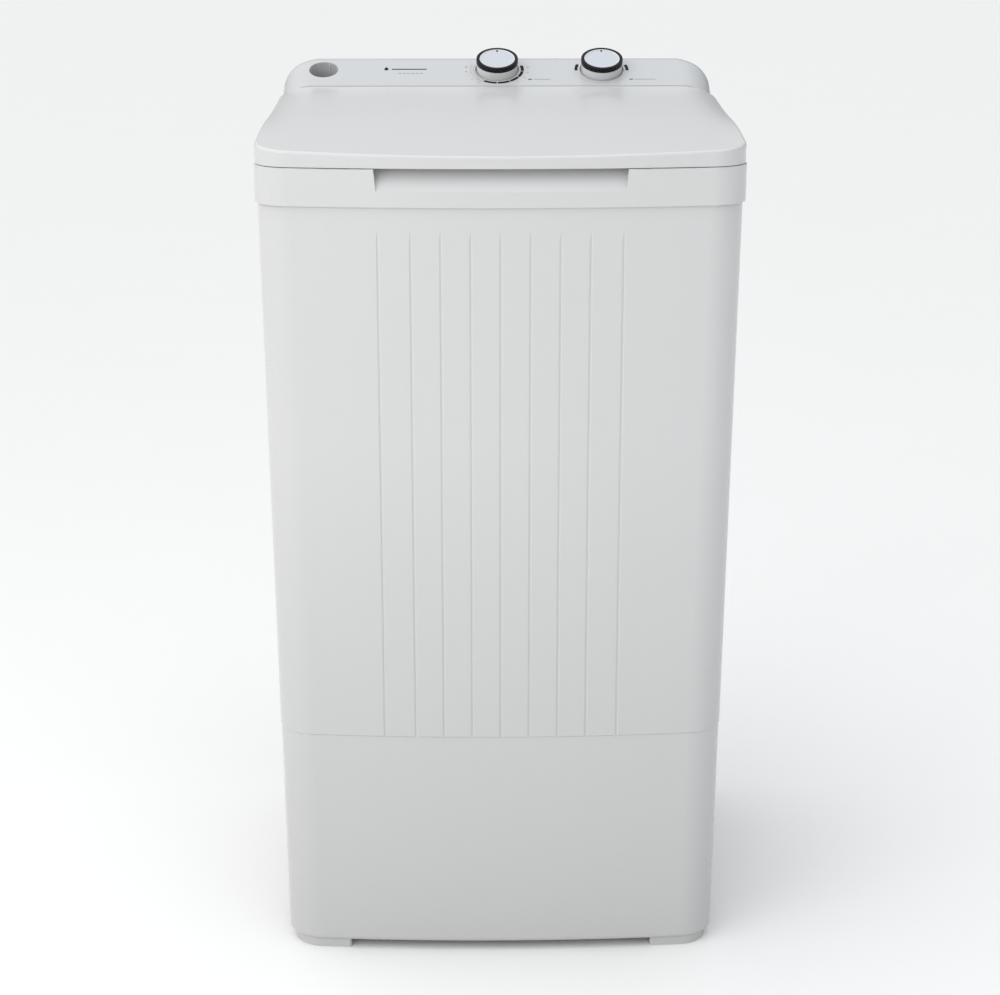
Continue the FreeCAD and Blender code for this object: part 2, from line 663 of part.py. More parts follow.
def lid_block(inset):
    bottom = LID_Z + LID_SEAM - (5.0 if inset else 0.0)
    plan = between(lid_outline(bottom, inset), lid_outline(LID_Z + 90.0, inset))
    return plan.common(lid_crown(inset)).common(lid_rear_profile(inset))


def bumper_places():
    reach = HALF_W - 14.0
    return [(side * reach, y) for side in (-1, 1) for y in (FRONT_Y + 90.0, HINGE_Y - 60.0)]


def make_lid():
    outer = lid_block(0.0)
    rim = edges_where(outer, lambda e: e.BoundBox.ZMin > LID_Z + 5 and not is_vertical(e)
                      and e.BoundBox.YMin < HINGE_Y - 30)
    shell = outer.makeFillet(LID_EDGE_R, rim).cut(lid_block(SKIN))
    # the rear wall stops above the hinge, so that it clears the frame's ears as the lid swings
    shell = shell.cut(box(-HALF_W + 15, HALF_W - 15, HINGE_Y + 1, REAR_Y, LID_Z - 1, HINGE_Z + 3.0))
    shell = shell.cut(box(-WIDTH, WIDTH, HINGE_Y - RELIEF_LENGTH, REAR_Y, LID_Z - 1, LID_Z + REAR_RELIEF))
    inside = lid_block(SKIN / 2)
    for side in (-1, 1):
        near = EAR_X + EAR_T + LUG_GAP
        x0, x1 = sorted((side * near, side * (near + 12.0)))
        lug = box(x0, x1, HINGE_Y - EAR_R, HINGE_Y + EAR_R, HINGE_Z - EAR_R, HINGE_Z + LID_REAR_R)
        shell = shell.fuse(lug.common(inside))
        shell = shell.cut(rod(PIN_R, V(side * (EAR_X - 2.0), HINGE_Y, HINGE_Z), V(side, 0, 0), PIN_L + 2.0))
    for x, y in bumper_places():
        post = rod(6.5, V(x, y, LID_Z + SEAT_GAP + BUMPER_H), UP, 60.0)
        shell = shell.fuse(post.common(inside))
    return shell.removeSplitter()


def make_hinge_pins():
    return Part.makeCompound([rod(PIN_R, V(side * EAR_X, HINGE_Y, HINGE_Z), V(side, 0, 0), PIN_L)
                              for side in (-1, 1)])


def make_bumpers():
    return Part.makeCompound([rod(5.0, V(x, y, LID_Z + SEAT_GAP), UP, BUMPER_H) for x, y in bumper_places()])


# ---------------------------------------------------------------- water inlet
def chute_shape(grow, open_top):
    """The trough and its hopper; grow makes the clearance cutter, open_top the water's way."""
    foot_y = dial_point(INLET_X, 0, -INLET_L).y
    half = CHUTE_W / 2 + grow
    low = CHUTE_Z - grow + (open_top * CHUTE_T)
    front = TUB_REAR - 44.0 - open_top
    shelf_under = LID_Z - SKIN - SEAT_GAP
    trough = box(INLET_X - half, INLET_X + half, front, foot_y + half, low, shelf_under + grow + open_top)
    hopper = box(INLET_X - half, INLET_X + half, foot_y - half, foot_y + half, low, LID_Z + 15.0 + open_top)
    return trough.fuse(hopper)


def chute_room():
    """What the frame gives up to let the chute through."""
    return chute_shape(FIT_GAP, False)


def make_inlet_chute():
    foot_y = dial_point(INLET_X, 0, -INLET_L).y
    half = CHUTE_W / 2
    flange = box(INLET_X - half - 4, INLET_X + half + 4, foot_y - half - 4, foot_y + half + 4,
                 LID_Z, LID_Z + CHUTE_T)
    return chute_shape(0.0, False).fuse(flange).cut(chute_shape(-CHUTE_T, True)).removeSplitter()


# ---------------------------------------------------------------- dials
def dial_ring(x, outer, inner, low, high):
    at = dial_point(x, 0, low)
    if inner == 0:
        return rod(outer, at, NORMAL, high - low)
    return ring(outer, inner, at, NORMAL, high - low)


def make_dial(x):
    """Skirt, grip ring with its pointer, and cap of one dial."""
    ring_r = DIAL_R - RING_T
    neck_r = ring_r - 0.1
    face = DIAL_H - FACE_SINK
    cap_low = face - 1.5
    skirt = dial_ring(x, DIAL_SKIRT_R, 0, -DIAL_SINK, DIAL_SKIRT_H)
    skirt = skirt.fuse(dial_ring(x, neck_r, 0, DIAL_SKIRT_H - 1, cap_low))
    skirt = skirt.cut(dial_ring(x, neck_r - 2.0, 8.0, -DIAL_SINK - 1, DIAL_SKIRT_H - 2))
    skirt = skirt.cut(rod(DIAL_SHAFT_R, dial_point(x, 0, -DIAL_SINK - 1), NORMAL, DIAL_SINK + 9.0))
    grip = dial_ring(x, DIAL_R, ring_r, DIAL_SKIRT_H, DIAL_H)
    crest = edges_where(grip, lambda e: e.Length > 2 * math.pi * DIAL_R - 0.1)
    grip = grip.makeFillet(0.6, crest)
    cap = dial_ring(x, neck_r, 0, cap_low, face)
    face_rim = edges_where(cap, lambda e: abs((e.CenterOfMass - dial_point(x, 0, face)).Length) < 0.1
                           and e.Length > 2 * math.pi * (neck_r - 0.1))
    cap = cap.makeFillet(0.7, face_rim)
    # the pointer is a tongue of the grip ring, let into the cap's face
    tongue = Part.makeBox(POINTER_W, POINTER_L + 1.0, 0.9, V(-POINTER_W / 2, 0, 0))
    far = dial_point(x, neck_r + 0.5 - POINTER_L, face - 0.8)
    tongue.Placement = FreeCAD.Placement(far, FreeCAD.Rotation(V(1, 0, 0), CONSOLE_TILT))
    slot = Part.makeBox(POINTER_W, POINTER_L + 1.0, 3.0, V(-POINTER_W / 2, 0, 0))
    slot.Placement = tongue.Placement
    return skirt.cut(tongue).removeSplitter(), grip.fuse(tongue).removeSplitter(), cap.cut(slot)


def tilted_box(x, half_x, half_y, low, high):
    """Box square to the console's slope, about a dial's axis."""
    block = Part.makeBox(2 * half_x, 2 * half_y, high - low, V(-half_x, -half_y, low))
    block.Placement = FreeCAD.Placement(dial_point(x, 0, 0), FreeCAD.Rotation(V(1, 0, 0), CONSOLE_TILT))
    return block


def make_timer_unit():
    body = tilted_box(TIMER_X, UNIT_W / 2, UNIT_W / 2, UNIT_TOP - UNIT_H, UNIT_TOP)
    body = body.cut(rod(DIAL_SHAFT_R + RUN_GAP, dial_point(TIMER_X, 0, SHAFT_FOOT - 0.5), NORMAL, 30.0))
    low = UNIT_TOP - UNIT_H
    terminals = tilted_box(TIMER_X, UNIT_W / 2 - 8.0, 1.0, low - 6.0, low + 1.0)
    return fuse([body, terminals])


def make_selector_unit():
    """Housing open below, where the drain's cord comes in."""
    low = UNIT_TOP - UNIT_H
    body = tilted_box(SELECTOR_X, UNIT_W / 2, UNIT_W / 2, low, UNIT_TOP)
    hollow = tilted_box(SELECTOR_X, UNIT_W / 2 - SKIN, UNIT_W / 2 - SKIN, low - 1, UNIT_TOP - 10.0)
    bore = rod(DIAL_SHAFT_R + RUN_GAP, dial_point(SELECTOR_X, 0, low), NORMAL, 60.0)
    return body.cut(hollow).cut(bore)


def make_dial_shaft(x, foot):
    return rod(DIAL_SHAFT_R, dial_point(x, 0, foot), NORMAL, 8.0 - foot)


def make_selector_drum():
    """Drum on the selector's shaft; it winds the drain's cord."""
    low = UNIT_TOP - 30.0
    drum = dial_ring(SELECTOR_X, 12.0, DIAL_SHAFT_R, low, low + 14.0)
    groove_cut = dial_ring(SELECTOR_X, 13.0, DRUM_R, low + 4.0, low + 10.0)
    return drum.cut(groove_cut)


# ---------------------------------------------------------------- tub and pulsator
def make_wash_tub():
    outer = tub_block(FLOOR_UNDER, TUB_TOP)
    outer = outer.makeFillet(TUB_EDGE_R + WALL, edges_at(outer, FLOOR_UNDER))
    inner = tub_block(TUB_FLOOR_Z, TUB_TOP + 1, WALL)
    inner = inner.makeFillet(TUB_EDGE_R, edges_at(inner, TUB_FLOOR_Z))
    flange = body_block(CABINET_TOP, TUB_TOP, 0.6)
    tub = outer.fuse(flange).cut(inner)
    tub = tub.cut(rod(BOSS_R, V(0, AXIS_Y, FLOOR_UNDER - 1), UP, 20.0))
    tub = tub.cut(rod(SUMP_BORE_R, V(VALVE_X, SUMP_Y, FLOOR_UNDER - 1), UP, 20.0))
    tub = tub.cut(rod(OVERFLOW_R - 2.0, V(OVERFLOW_X, TUB_REAR - 30, OVERFLOW_Z), V(0, 1, 0), 60.0))
    for x0, x1 in DECK_HOLES:
        tub = tub.cut(box(x0, x1, TUB_REAR + 22, REAR_Y - 26, CABINET_TOP - 1, TUB_TOP + 1))
    for bolt in housing_bolt_seats():
        tub = tub.cut(screw_hole(bolt, V(0, 0, -1), 8.0))
    return tub.removeSplitter()


def housing_bolt_seats():
    reach = HOUSING_FLANGE_R - 8.0
    angles = [math.pi / 4 + n * math.pi / 2 for n in range(4)]
    return [V(reach * math.cos(a), AXIS_Y + reach * math.sin(a), FLOOR_UNDER - FLANGE_T) for a in angles]


def make_pulsator():
    low = TUB_FLOOR_Z + PULSATOR_LIFT
    top = low + PULSATOR_HUB_H
    r = PULSATOR_R
    profile = [(0, top), (PULSATOR_HUB_R * 0.5, top - 2.0), (PULSATOR_HUB_R * 0.8, top - 12.0),
               (PULSATOR_HUB_R * 1.3, low + 18.0), (r * 0.55, low + PULSATOR_T + 2.0),
               (r - 12.0, low + PULSATOR_T + 1.0),
               (r - 2.0, low + PULSATOR_T + 4.0), (r, low + PULSATOR_T + 2.0), (r, low),
               (r - 3.0, low), (r - 3.0, low + 2.0), (24.0, low + 2.0), (24.0, low + 12.0), (0, low + 12.0)]
    disc = spun(profile, AXIS_AT)
    fins = []
    for n in range(FIN_COUNT):
        points = [V(18.0, -FIN_T / 2, low + 5.0), V(r - 14.0, -FIN_T / 2, low + 5.0),
                  V(r - 20.0, -FIN_T / 2, low + PULSATOR_T + FIN_H * 0.55),
                  V(r * 0.5, -FIN_T / 2, low + PULSATOR_T + FIN_H),
                  V(18.0, -FIN_T / 2, low + PULSATOR_HUB_H - 8.0)]
        fin = prism(points, V(0, FIN_T, 0))
        crest = edges_where(fin, lambda e: e.BoundBox.ZMin > low + PULSATOR_T and e.BoundBox.YLength < 0.01)
        fin = fin.makeFillet(FIN_T / 2 - 0.6, crest)
        fin.rotate(V(0, 0, 0), UP, 360.0 / FIN_COUNT * n)
        fin.translate(AXIS_AT)
        fins.append(fin)
    whole = fuse([disc] + fins)
    whole = whole.cut(rod(SHAFT_R, V(0, AXIS_Y, low - 1), UP, 26.0))
    whole = whole.cut(rod(3.0, V(0, AXIS_Y, low), UP, 60.0))
    whole = whole.cut(rod(9.0, V(0, AXIS_Y, top - 8.0), UP, 20.0))
    for n in range(4 * FIN_COUNT):
        if n % 4 == 0:
            continue
        a = 2 * math.pi / (4 * FIN_COUNT) * n
        for reach in (r * 0.66, r * 0.8):
            at = V(reach * math.cos(a), AXIS_Y + reach * math.sin(a), low - 1)
            whole = whole.cut(rod(2.6, at, UP, 30.0))
    return whole.removeSplitter()


def make_pulsator_shaft():
    low = PULLEY_Z - PULLEY_T / 2 - 9.0
    shaft = rod(SHAFT_R, V(0, AXIS_Y, low), UP, SHAFT_TOP - low)
    return shaft.cut(rod(2.5, V(0, AXIS_Y, SHAFT_TOP - 16.0), UP, 20.0))


def make_pulsator_screw():
    seat = TUB_FLOOR_Z + PULSATOR_LIFT + PULSATOR_HUB_H - 8.0
    head = rod(7.0, V(0, AXIS_Y, seat), UP, 3.0)
    shank = rod(2.5, V(0, AXIS_Y, SHAFT_TOP - 14.0), UP, seat - SHAFT_TOP + 14.0)
    slot = box(-0.8, 0.8, AXIS_Y - 8, AXIS_Y + 8, seat + 1.8, seat + 4)
    return head.fuse(shank).cut(slot).removeSplitter()


def make_pulsator_cap():
    low = TUB_FLOOR_Z + PULSATOR_LIFT + PULSATOR_HUB_H - 4.5
    cap = rod(9.0, V(0, AXIS_Y, low), UP, 4.0)
    return cap.makeFillet(1.2, edges_at(cap, low + 4.0))


def make_shaft_housing():
    at = V(0, AXIS_Y, 0)
    top = TUB_FLOOR_Z + 2.0
    whole = fuse([rod(HOUSING_R, at + UP * HOUSING_Z, UP, HOUSING_L),
                  rod(HOUSING_FLANGE_R, at + UP * (FLOOR_UNDER - FLANGE_T), UP, FLANGE_T),
                  rod(BOSS_R, at + UP * (FLOOR_UNDER - 1), UP, top - FLOOR_UNDER + 1)])
    for n in range(4):
        rib = prism([V(HOUSING_R - 2, -2, HOUSING_Z + 12), V(HOUSING_FLANGE_R - 4, -2, FLOOR_UNDER - 2),
                     V(HOUSING_R - 2, -2, FLOOR_UNDER - 2)], V(0, 4, 0))
        rib.rotate(V(0, 0, 0), UP, 90.0 * n)
        rib.translate(AXIS_AT)
        whole = whole.fuse(rib)
    whole = whole.cut(rod(SHAFT_R + 1.0, at + UP * (HOUSING_Z - 1), UP, HOUSING_L + 30))
    bush = SHAFT_R + BUSH_T
    whole = whole.cut(rod(bush, at + UP * (HOUSING_Z - 1), UP, BUSH_L + 1))
    whole = whole.cut(rod(bush, at + UP * (FLOOR_UNDER - BUSH_L), UP, BUSH_L))
    whole = whole.cut(rod(SEAL_R, at + UP * (top - SEAL_H), UP, SEAL_H + 1))
    for bolt in housing_bolt_seats():
        whole = whole.cut(screw_hole(bolt, V(0, 0, -1), 8.0))
    return whole.removeSplitter()


def make_bush(z):
    return ring(SHAFT_R + BUSH_T, SHAFT_R + RUN_GAP, V(0, AXIS_Y, z), UP, BUSH_L)


def make_shaft_seal():
    return ring(SEAL_R, SHAFT_R + RUN_GAP, V(0, AXIS_Y, TUB_FLOOR_Z + 2.0 - SEAL_H), UP, SEAL_H)


def pulley(at, radius, bore_r):
    """V-grooved pulley about a vertical shaft."""
    deep = BELT_SINK + BELT_T + 1.5
    half = PULLEY_T / 2
    profile = [(bore_r, PULLEY_Z - half), (radius, PULLEY_Z - half), (radius, PULLEY_Z - half + 1.8),
               (radius - deep, PULLEY_Z - 3.3), (radius - deep, PULLEY_Z + 3.3),
               (radius, PULLEY_Z + half - 1.8),
               (radius, PULLEY_Z + half), (bore_r, PULLEY_Z + half)]
    return spun(profile, at)


def make_driven_pulley():
    whole = pulley(AXIS_AT, DRIVEN_R, SHAFT_R)
    for side in (-1, 1):
        z = PULLEY_Z + 3.0 if side > 0 else PULLEY_Z - 3.0 - 10
        whole = whole.cut(ring(DRIVEN_R - 17.0, 20.0, V(0, AXIS_Y, z), UP, 10.0))
    for n in range(WEB_HOLES):
        a = 2 * math.pi / WEB_HOLES * n
        whole = whole.cut(rod(15.0, V(43 * math.cos(a), AXIS_Y + 43 * math.sin(a), PULLEY_Z - 9), UP, 18.0))
    return whole.removeSplitter()


def make_driver_pulley():
    return pulley(MOTOR_AT, DRIVER_R, SHAFT_R)


def loop_wire(sink, z):
    """Outline round both pulleys, `sink` below their rims."""
    r1, r2 = DRIVEN_R - sink, DRIVER_R - sink
    span = MOTOR_AT - AXIS_AT
    away = span.Length
    ux, uy = span.x / away, span.y / away
    lean = math.acos((r1 - r2) / away)

    def at(centre, r, angle):
        c, s = math.cos(angle), math.sin(angle)
        return V(centre.x + r * (ux * c - uy * s), centre.y + r * (uy * c + ux * s), z)

    a1, b1 = at(AXIS_AT, r1, lean), at(MOTOR_AT, r2, lean)
    a2, b2 = at(AXIS_AT, r1, -lean), at(MOTOR_AT, r2, -lean)
    return Part.Wire([line(a1, b1), arc(b1, at(MOTOR_AT, r2, 0), b2), line(b2, a2),
                      arc(a2, at(AXIS_AT, r1, math.pi), a1)])


def make_belt():
    low, high = PULLEY_Z - BELT_W / 2, PULLEY_Z + BELT_W / 2
    back = Part.makeLoft([loop_wire(BELT_SINK, low), loop_wire(BELT_SINK, high)], True, True)
    narrow = 2.5
    deep, shallow = BELT_SINK + BELT_T, BELT_SINK + 1.0
    levels = [(low - 0.01, shallow), (PULLEY_Z - narrow, deep),
              (PULLEY_Z + narrow, deep), (high + 0.01, shallow)]
    for (z0, s0), (z1, s1) in zip(levels, levels[1:]):
        back = back.cut(Part.makeLoft([loop_wire(s0, z0), loop_wire(s1, z1)], True, True))
    return back


# ---------------------------------------------------------------- motor
def make_motor_frame():
    at = MOTOR_AT
    body = rod(MOTOR_R, at + UP * MOTOR_Z, UP, MOTOR_H)
    ends = edges_where(body, lambda e: not is_vertical(e) and e.Length > 6 * MOTOR_R)
    body = body.makeFillet(8.0, ends)
    body = body.cut(rod(MOTOR_R - 3.5, at + UP * (MOTOR_Z + 5.0), UP, MOTOR_H - 10.0))
    tabs = []
    for mount in motor_mounts():
        x0, y0 = mount.x - 12, mount.y - 12
        tabs.append(box(x0, x0 + 24, y0, y0 + 24, MOTOR_Z, MOTOR_Z + 3.5))
    whole = fuse([body] + tabs)
    whole = whole.cut(rod(SHAFT_R + RUN_GAP, at + UP * (MOTOR_Z - 1), UP, MOTOR_H + 2))
    for mount in motor_mounts():
        whole = whole.cut(rod(SCREW_R + 0.05, mount + UP * (MOTOR_Z - 1), UP, 8.0))
    for n in range(16):
        a = 2 * math.pi / 16 * n
        slot = box(MOTOR_R - 6, MOTOR_R + 4, -3, 3, MOTOR_Z + MOTOR_H / 2 - 22, MOTOR_Z + MOTOR_H / 2 + 22)
        slot.rotate(V(0, 0, 0), UP, math.degrees(a))
        slot.translate(at)
        whole = whole.cut(slot)
    return whole.removeSplitter()


def make_stator():
    return ring(MOTOR_R - 3.6, STATOR_R, MOTOR_AT + UP * (MOTOR_Z + 24.0), UP, MOTOR_H - 48.0)


def make_rotor():
    low = MOTOR_Z - 4.0
    shaft = rod(SHAFT_R, MOTOR_AT + UP * low, UP, PULLEY_Z + PULLEY_T / 2 + 8.0 - low)
    core = rod(STATOR_R - AIR_GAP, MOTOR_AT + UP * (MOTOR_Z + 18.0), UP, MOTOR_H - 36.0)
    return shaft.fuse(core).removeSplitter()


def make_motor_bracket():
    reach = MOTOR_R + 26.0
    plate = box(MOTOR_AT.x - reach, MOTOR_AT.x + reach, MOTOR_AT.y - reach, MOTOR_AT.y + reach,
                BRACKET_Z, BRACKET_Z + BRACKET_T)
    plate = plate.makeFillet(12.0, edges_where(plate, is_vertical))
    plate = plate.cut(rod(30.0, MOTOR_AT + UP * (BRACKET_Z - 1), UP, 10.0))
    for mount in motor_mounts() + bracket_posts():
        plate = plate.cut(rod(SCREW_R + 0.05, mount + UP * (BRACKET_Z - 1), UP, 10.0))
    return plate


def make_motor_grommets():
    seat = UP * (BRACKET_Z + BRACKET_T)
    return Part.makeCompound([ring(GROMMET_R, SCREW_R + 0.05, mount + seat, UP, GROMMET_H)
                              for mount in motor_mounts()])


def make_motor_bolts():
    """Bolts down through motor, grommets and bracket, each with its nut."""
    bolts = []
    for m in motor_mounts():
        top = MOTOR_Z + 3.5
        bolt = rod(SCREW_HEAD_R, m + UP * top, UP, 3.0)
        bolt = bolt.fuse(rod(SCREW_R, m + UP * (BRACKET_Z - 7.0), UP, top - BRACKET_Z + 7.0))
        bolt = bolt.fuse(rod(SCREW_HEAD_R, m + UP * (BRACKET_Z - 3.4), UP, 3.2))
        bolts.append(bolt.removeSplitter())
    return Part.makeCompound(bolts)


def screws(seats, direction, length=SCREW_L):
    return Part.makeCompound([screw(seat, direction, length) for seat in seats])


def make_capacitor():
    can = rod(17.5, CAPACITOR_AT + UP * 2.2, UP, 62.0)
    can = can.makeFillet(2.0, edges_where(can, lambda e: not is_vertical(e)))
    tabs = [box(CAPACITOR_AT.x + x - 3, CAPACITOR_AT.x + x + 3, CAPACITOR_AT.y - 0.5, CAPACITOR_AT.y + 0.5,
                CAPACITOR_AT.z + 60, CAPACITOR_AT.z + 74) for x in (-7, 7)]
    return fuse([can] + tabs)


def make_capacitor_clip():
    cup = ring(19.6, 17.6, CAPACITOR_AT, UP, 26.0).fuse(rod(19.6, CAPACITOR_AT, UP, 2.0))
    foot = box(CAPACITOR_AT.x - 40, CAPACITOR_AT.x - 15, CAPACITOR_AT.y - 8, CAPACITOR_AT.y + 8,
               BASE_FLOOR, BASE_FLOOR + 2.0)
    return fuse([cup, foot.cut(rod(17.6, CAPACITOR_AT - UP, UP, 5.0))]).cut(
        rod(SCREW_R + 0.05, V(CAPACITOR_AT.x - 32, CAPACITOR_AT.y, BASE_FLOOR - 1), UP, 5.0))


# ---------------------------------------------------------------- drain
def tube(points, bend, outer, inner):
    """Hollow pipe along straight runs joined by bends."""
    edges = []
    start = points[0]
    for n in range(1, len(points) - 1):
        corner = points[n]
        back = (points[n - 1] - corner).normalize()
        on = (points[n + 1] - corner).normalize()
        a, b = corner + back * bend, corner + on * bend
        centre = a + on * bend
        mid = centre + (corner - centre).normalize() * bend
        if (a - start).Length > 0.01:
            edges.append(line(start, a))
        edges.append(arc(a, mid, b))
        start = b
    edges.append(line(start, points[-1]))
    spine = Part.Wire(edges)
    along = (points[1] - points[0]).normalize()

    def sweep(radius):
        hoop = Part.Wire(Part.makeCircle(radius, points[0], along))
        return spine.makePipeShell([hoop], True, False)

    whole = sweep(outer)
    return whole.cut(sweep(inner)) if inner else whole


def make_valve_body():
    at = V(VALVE_X, VALVE_Y, 0)
    port = V(VALVE_X, VALVE_Y - VALVE_R, VALVE_PORT_Z)
    outlet = 12.0
    whole = fuse([rod(VALVE_R, at + UP * VALVE_Z, UP, VALVE_H),
                  rod(outlet + 2.5, at + UP * (VALVE_Z - 16), UP, 20.0),
                  rod(PORT_R + 2.4, port - V(0, 12.0, 0), V(0, 1, 0), VALVE_R + 12.0)])
    whole = whole.cut(rod(VALVE_R - WALL, at + UP * (SEAT_Z), UP, VALVE_H))
    whole = whole.cut(rod(VALVE_R - WALL, at + UP * (VALVE_Z + 3), UP, SEAT_Z - VALVE_Z - 7))
    whole = whole.cut(rod(14.0, at + UP * (VALVE_Z + 4), UP, SEAT_Z))
    whole = whole.cut(rod(outlet, at + UP * (VALVE_Z - 17), UP, 30.0))
    whole = whole.cut(rod(PORT_R, port - V(0, 13.0, 0), V(0, 1, 0), VALVE_R + 8.0))
    # stub that the overflow pipe pushes over
    side = V(VALVE_X - VALVE_R, VALVE_Y, VALVE_Z + STUB_H)
    stub = ring(OVERFLOW_R - 2.2, OVERFLOW_R - 4.4, side - V(10, 0, 0), V(1, 0, 0), 12.0)
    whole = whole.fuse(stub).cut(rod(OVERFLOW_R - 4.4, side - V(1, 0, 0), V(1, 0, 0), 8.0))
    return whole.removeSplitter()


def make_valve_cap():
    at = V(VALVE_X, VALVE_Y, VALVE_TOP)
    inside = VALVE_R - WALL
    lid = fuse([rod(VALVE_R, at, UP, CAP_H), ring(inside, inside - 2.0, at - UP * 6.0, UP, 7.0)])
    return lid.cut(rod(STEM_R + RUN_GAP, at - UP * 1.0, UP, 10.0))


def make_valve_plunger():
    at = V(VALVE_X, VALVE_Y, 0)
    disc = rod(19.0, at + UP * (SEAT_Z + SEAT_GAP), UP, 6.0)
    stem = rod(STEM_R, at + UP * (SEAT_Z + 4.0), UP, VALVE_TOP + 24.0 - SEAT_Z - 4.0)
    eye = rod(1.6, V(VALVE_X, VALVE_Y - 10, VALVE_TOP + 19.0), V(0, 1, 0), 20.0)
    return disc.fuse(stem).cut(eye).removeSplitter()


def make_valve_bellows():
    """Rubber bellows round the stem, between the plunger's disc and the valve's cap."""
    low, high = SEAT_Z + SEAT_GAP + 6.0 + 0.1, VALVE_TOP - 0.1
    step = (high - low) / (2 * BELLOWS_FOLDS)
    outer = [(BELLOWS_R - (0 if n % 2 else BELLOWS_FOLD), low + step * n)
             for n in range(2 * BELLOWS_FOLDS + 1)]
    inner = [(r - BELLOWS_T, z) for r, z in reversed(outer)]
    return spun(outer + inner, V(VALVE_X, VALVE_Y, 0))


def make_drain_strap():
    """Flat link from the valve's stem up to the cord."""
    low, high = VALVE_TOP + 12.0, CABINET_TOP - 40.0
    strap = box(VALVE_X - STRAP_W / 2, VALVE_X + STRAP_W / 2, VALVE_Y + STEM_R + 0.1,
                VALVE_Y + STEM_R + 0.1 + STRAP_T, low, high)
    for z in (VALVE_TOP + 19.0, high - 6.0):
        strap = strap.cut(rod(1.6, V(VALVE_X, VALVE_Y, z), V(0, 1, 0), 20.0))
    return strap


def make_strap_pin():
    return rod(1.6, V(VALVE_X, VALVE_Y, VALVE_TOP + 19.0), V(0, 1, 0), STEM_R + STRAP_T + 2.0)


def make_drain_cord():
    """Thin cord from the strap up into the selector's housing."""
    foot = V(VALVE_X, VALVE_Y + STEM_R + 0.1 + STRAP_T / 2, CABINET_TOP - 39.3)

    def beside_drum(out, height):
        return dial_point(SELECTOR_X + out, 0, height)

    curve = Part.BSplineCurve()
    curve.interpolate([foot, foot + V(2, 3, 32), beside_drum(14.6, UNIT_TOP - 38.0),
                       beside_drum(14.6, UNIT_TOP - 26.5), beside_drum(12.5, UNIT_TOP - 23.7),
                       beside_drum(DRUM_R + 1.3, UNIT_TOP - 23.0)])
    hoop = Part.Wire(Part.makeCircle(1.0, foot, curve.tangent(curve.FirstParameter)[0]))
    return Part.Wire(curve.toShape()).makePipeShell([hoop], True, True)


def make_drain_elbow():
    """From the tub's drain hole back to the valve's port."""
    start = V(VALVE_X, SUMP_Y, FLOOR_UNDER)
    bend = 18.0
    end = V(VALVE_X, VALVE_Y - VALVE_R - 12.2, VALVE_PORT_Z)
    pipe = tube([start, V(VALVE_X, SUMP_Y, VALVE_PORT_Z), end], bend, PORT_R + 2.2, PORT_R)
    flange = ring(PORT_R + 10.0, PORT_R, start - UP * 3.0, UP, 2.9)
    return pipe.fuse(flange).removeSplitter()


def rear_face(z):
    """Y of the base's rear wall, outside."""
    return REAR_Y - BODY_STEP - SIDE_DRAFT * (BAND_Z - z) - SEAM_STEP


def make_drain_hose():
    start = V(VALVE_X, VALVE_Y, VALVE_Z - 16.3)
    end = V(SPIGOT_X, rear_face(SPIGOT_Z) - 24.0, SPIGOT_Z)
    path = [start, V(VALVE_X, VALVE_Y, SPIGOT_Z), V(SPIGOT_X, VALVE_Y, SPIGOT_Z), end]
    return tube(path, 26.0, 14.5, 12.0)


def make_drain_spigot():
    """Stub on the rear wall for the outside hose."""
    at = rear_face(SPIGOT_Z)
    inner = at - 23.8
    pipe = rod(SPIGOT_R, V(SPIGOT_X, inner, SPIGOT_Z), V(0, 1, 0), REAR_Y - inner)
    collar = rod(SPIGOT_R + 5.0, V(SPIGOT_X, at + 0.5, SPIGOT_Z), V(0, 1, 0), 2.5)
    return fuse([pipe, collar]).cut(rod(SPIGOT_BORE_R, V(SPIGOT_X, inner - 1, SPIGOT_Z), V(0, 1, 0), 60.0))


def make_overflow_pipe():
    start = V(OVERFLOW_X, TUB_REAR - TUB_DRAFT * (TUB_TOP - OVERFLOW_Z) + 0.4, OVERFLOW_Z)
    end = V(VALVE_X - VALVE_R - 10.2, VALVE_Y, VALVE_Z + STUB_H)
    path = [start, V(OVERFLOW_X, VALVE_Y, OVERFLOW_Z), V(OVERFLOW_X, VALVE_Y, VALVE_Z + STUB_H), end]
    return tube(path, 16.0, OVERFLOW_R, OVERFLOW_R - 2.0)


def make_overflow_cover():
    """Slotted cover over the overflow hole, on the tub's rear wall."""
    half, low, high, stand = 62.0, OVERFLOW_Z - 190.0, OVERFLOW_Z + 40.0, 16.0
    x = OVERFLOW_X
    wall_skin = tub_block(TUB_FLOOR_Z, TUB_TOP, WALL + 0.2)
    outer = wall_skin.cut(tub_block(TUB_FLOOR_Z, TUB_TOP, WALL + stand)).common(
        box(x - half, x + half, 60, 200, low, high))
    hollow = tub_block(TUB_FLOOR_Z, TUB_TOP, WALL - 1.0).cut(
        tub_block(TUB_FLOOR_Z, TUB_TOP, WALL + stand - 2.0)).common(
        box(x - half + 2, x + half - 2, 60, 200, low + 2, high - 2))
    cover = outer.cut(hollow)
    for row in range(14):
        z = low + 16.0 + 14.0 * row
        for side in (-1, 1):
            x0, x1 = sorted((x + side * 4.0, x + side * (half - 8.0)))
            cover = cover.cut(box(x0, x1, TUB_REAR - 60, TUB_REAR - stand + 2, z, z + 6.0))
    return cover.removeSplitter()


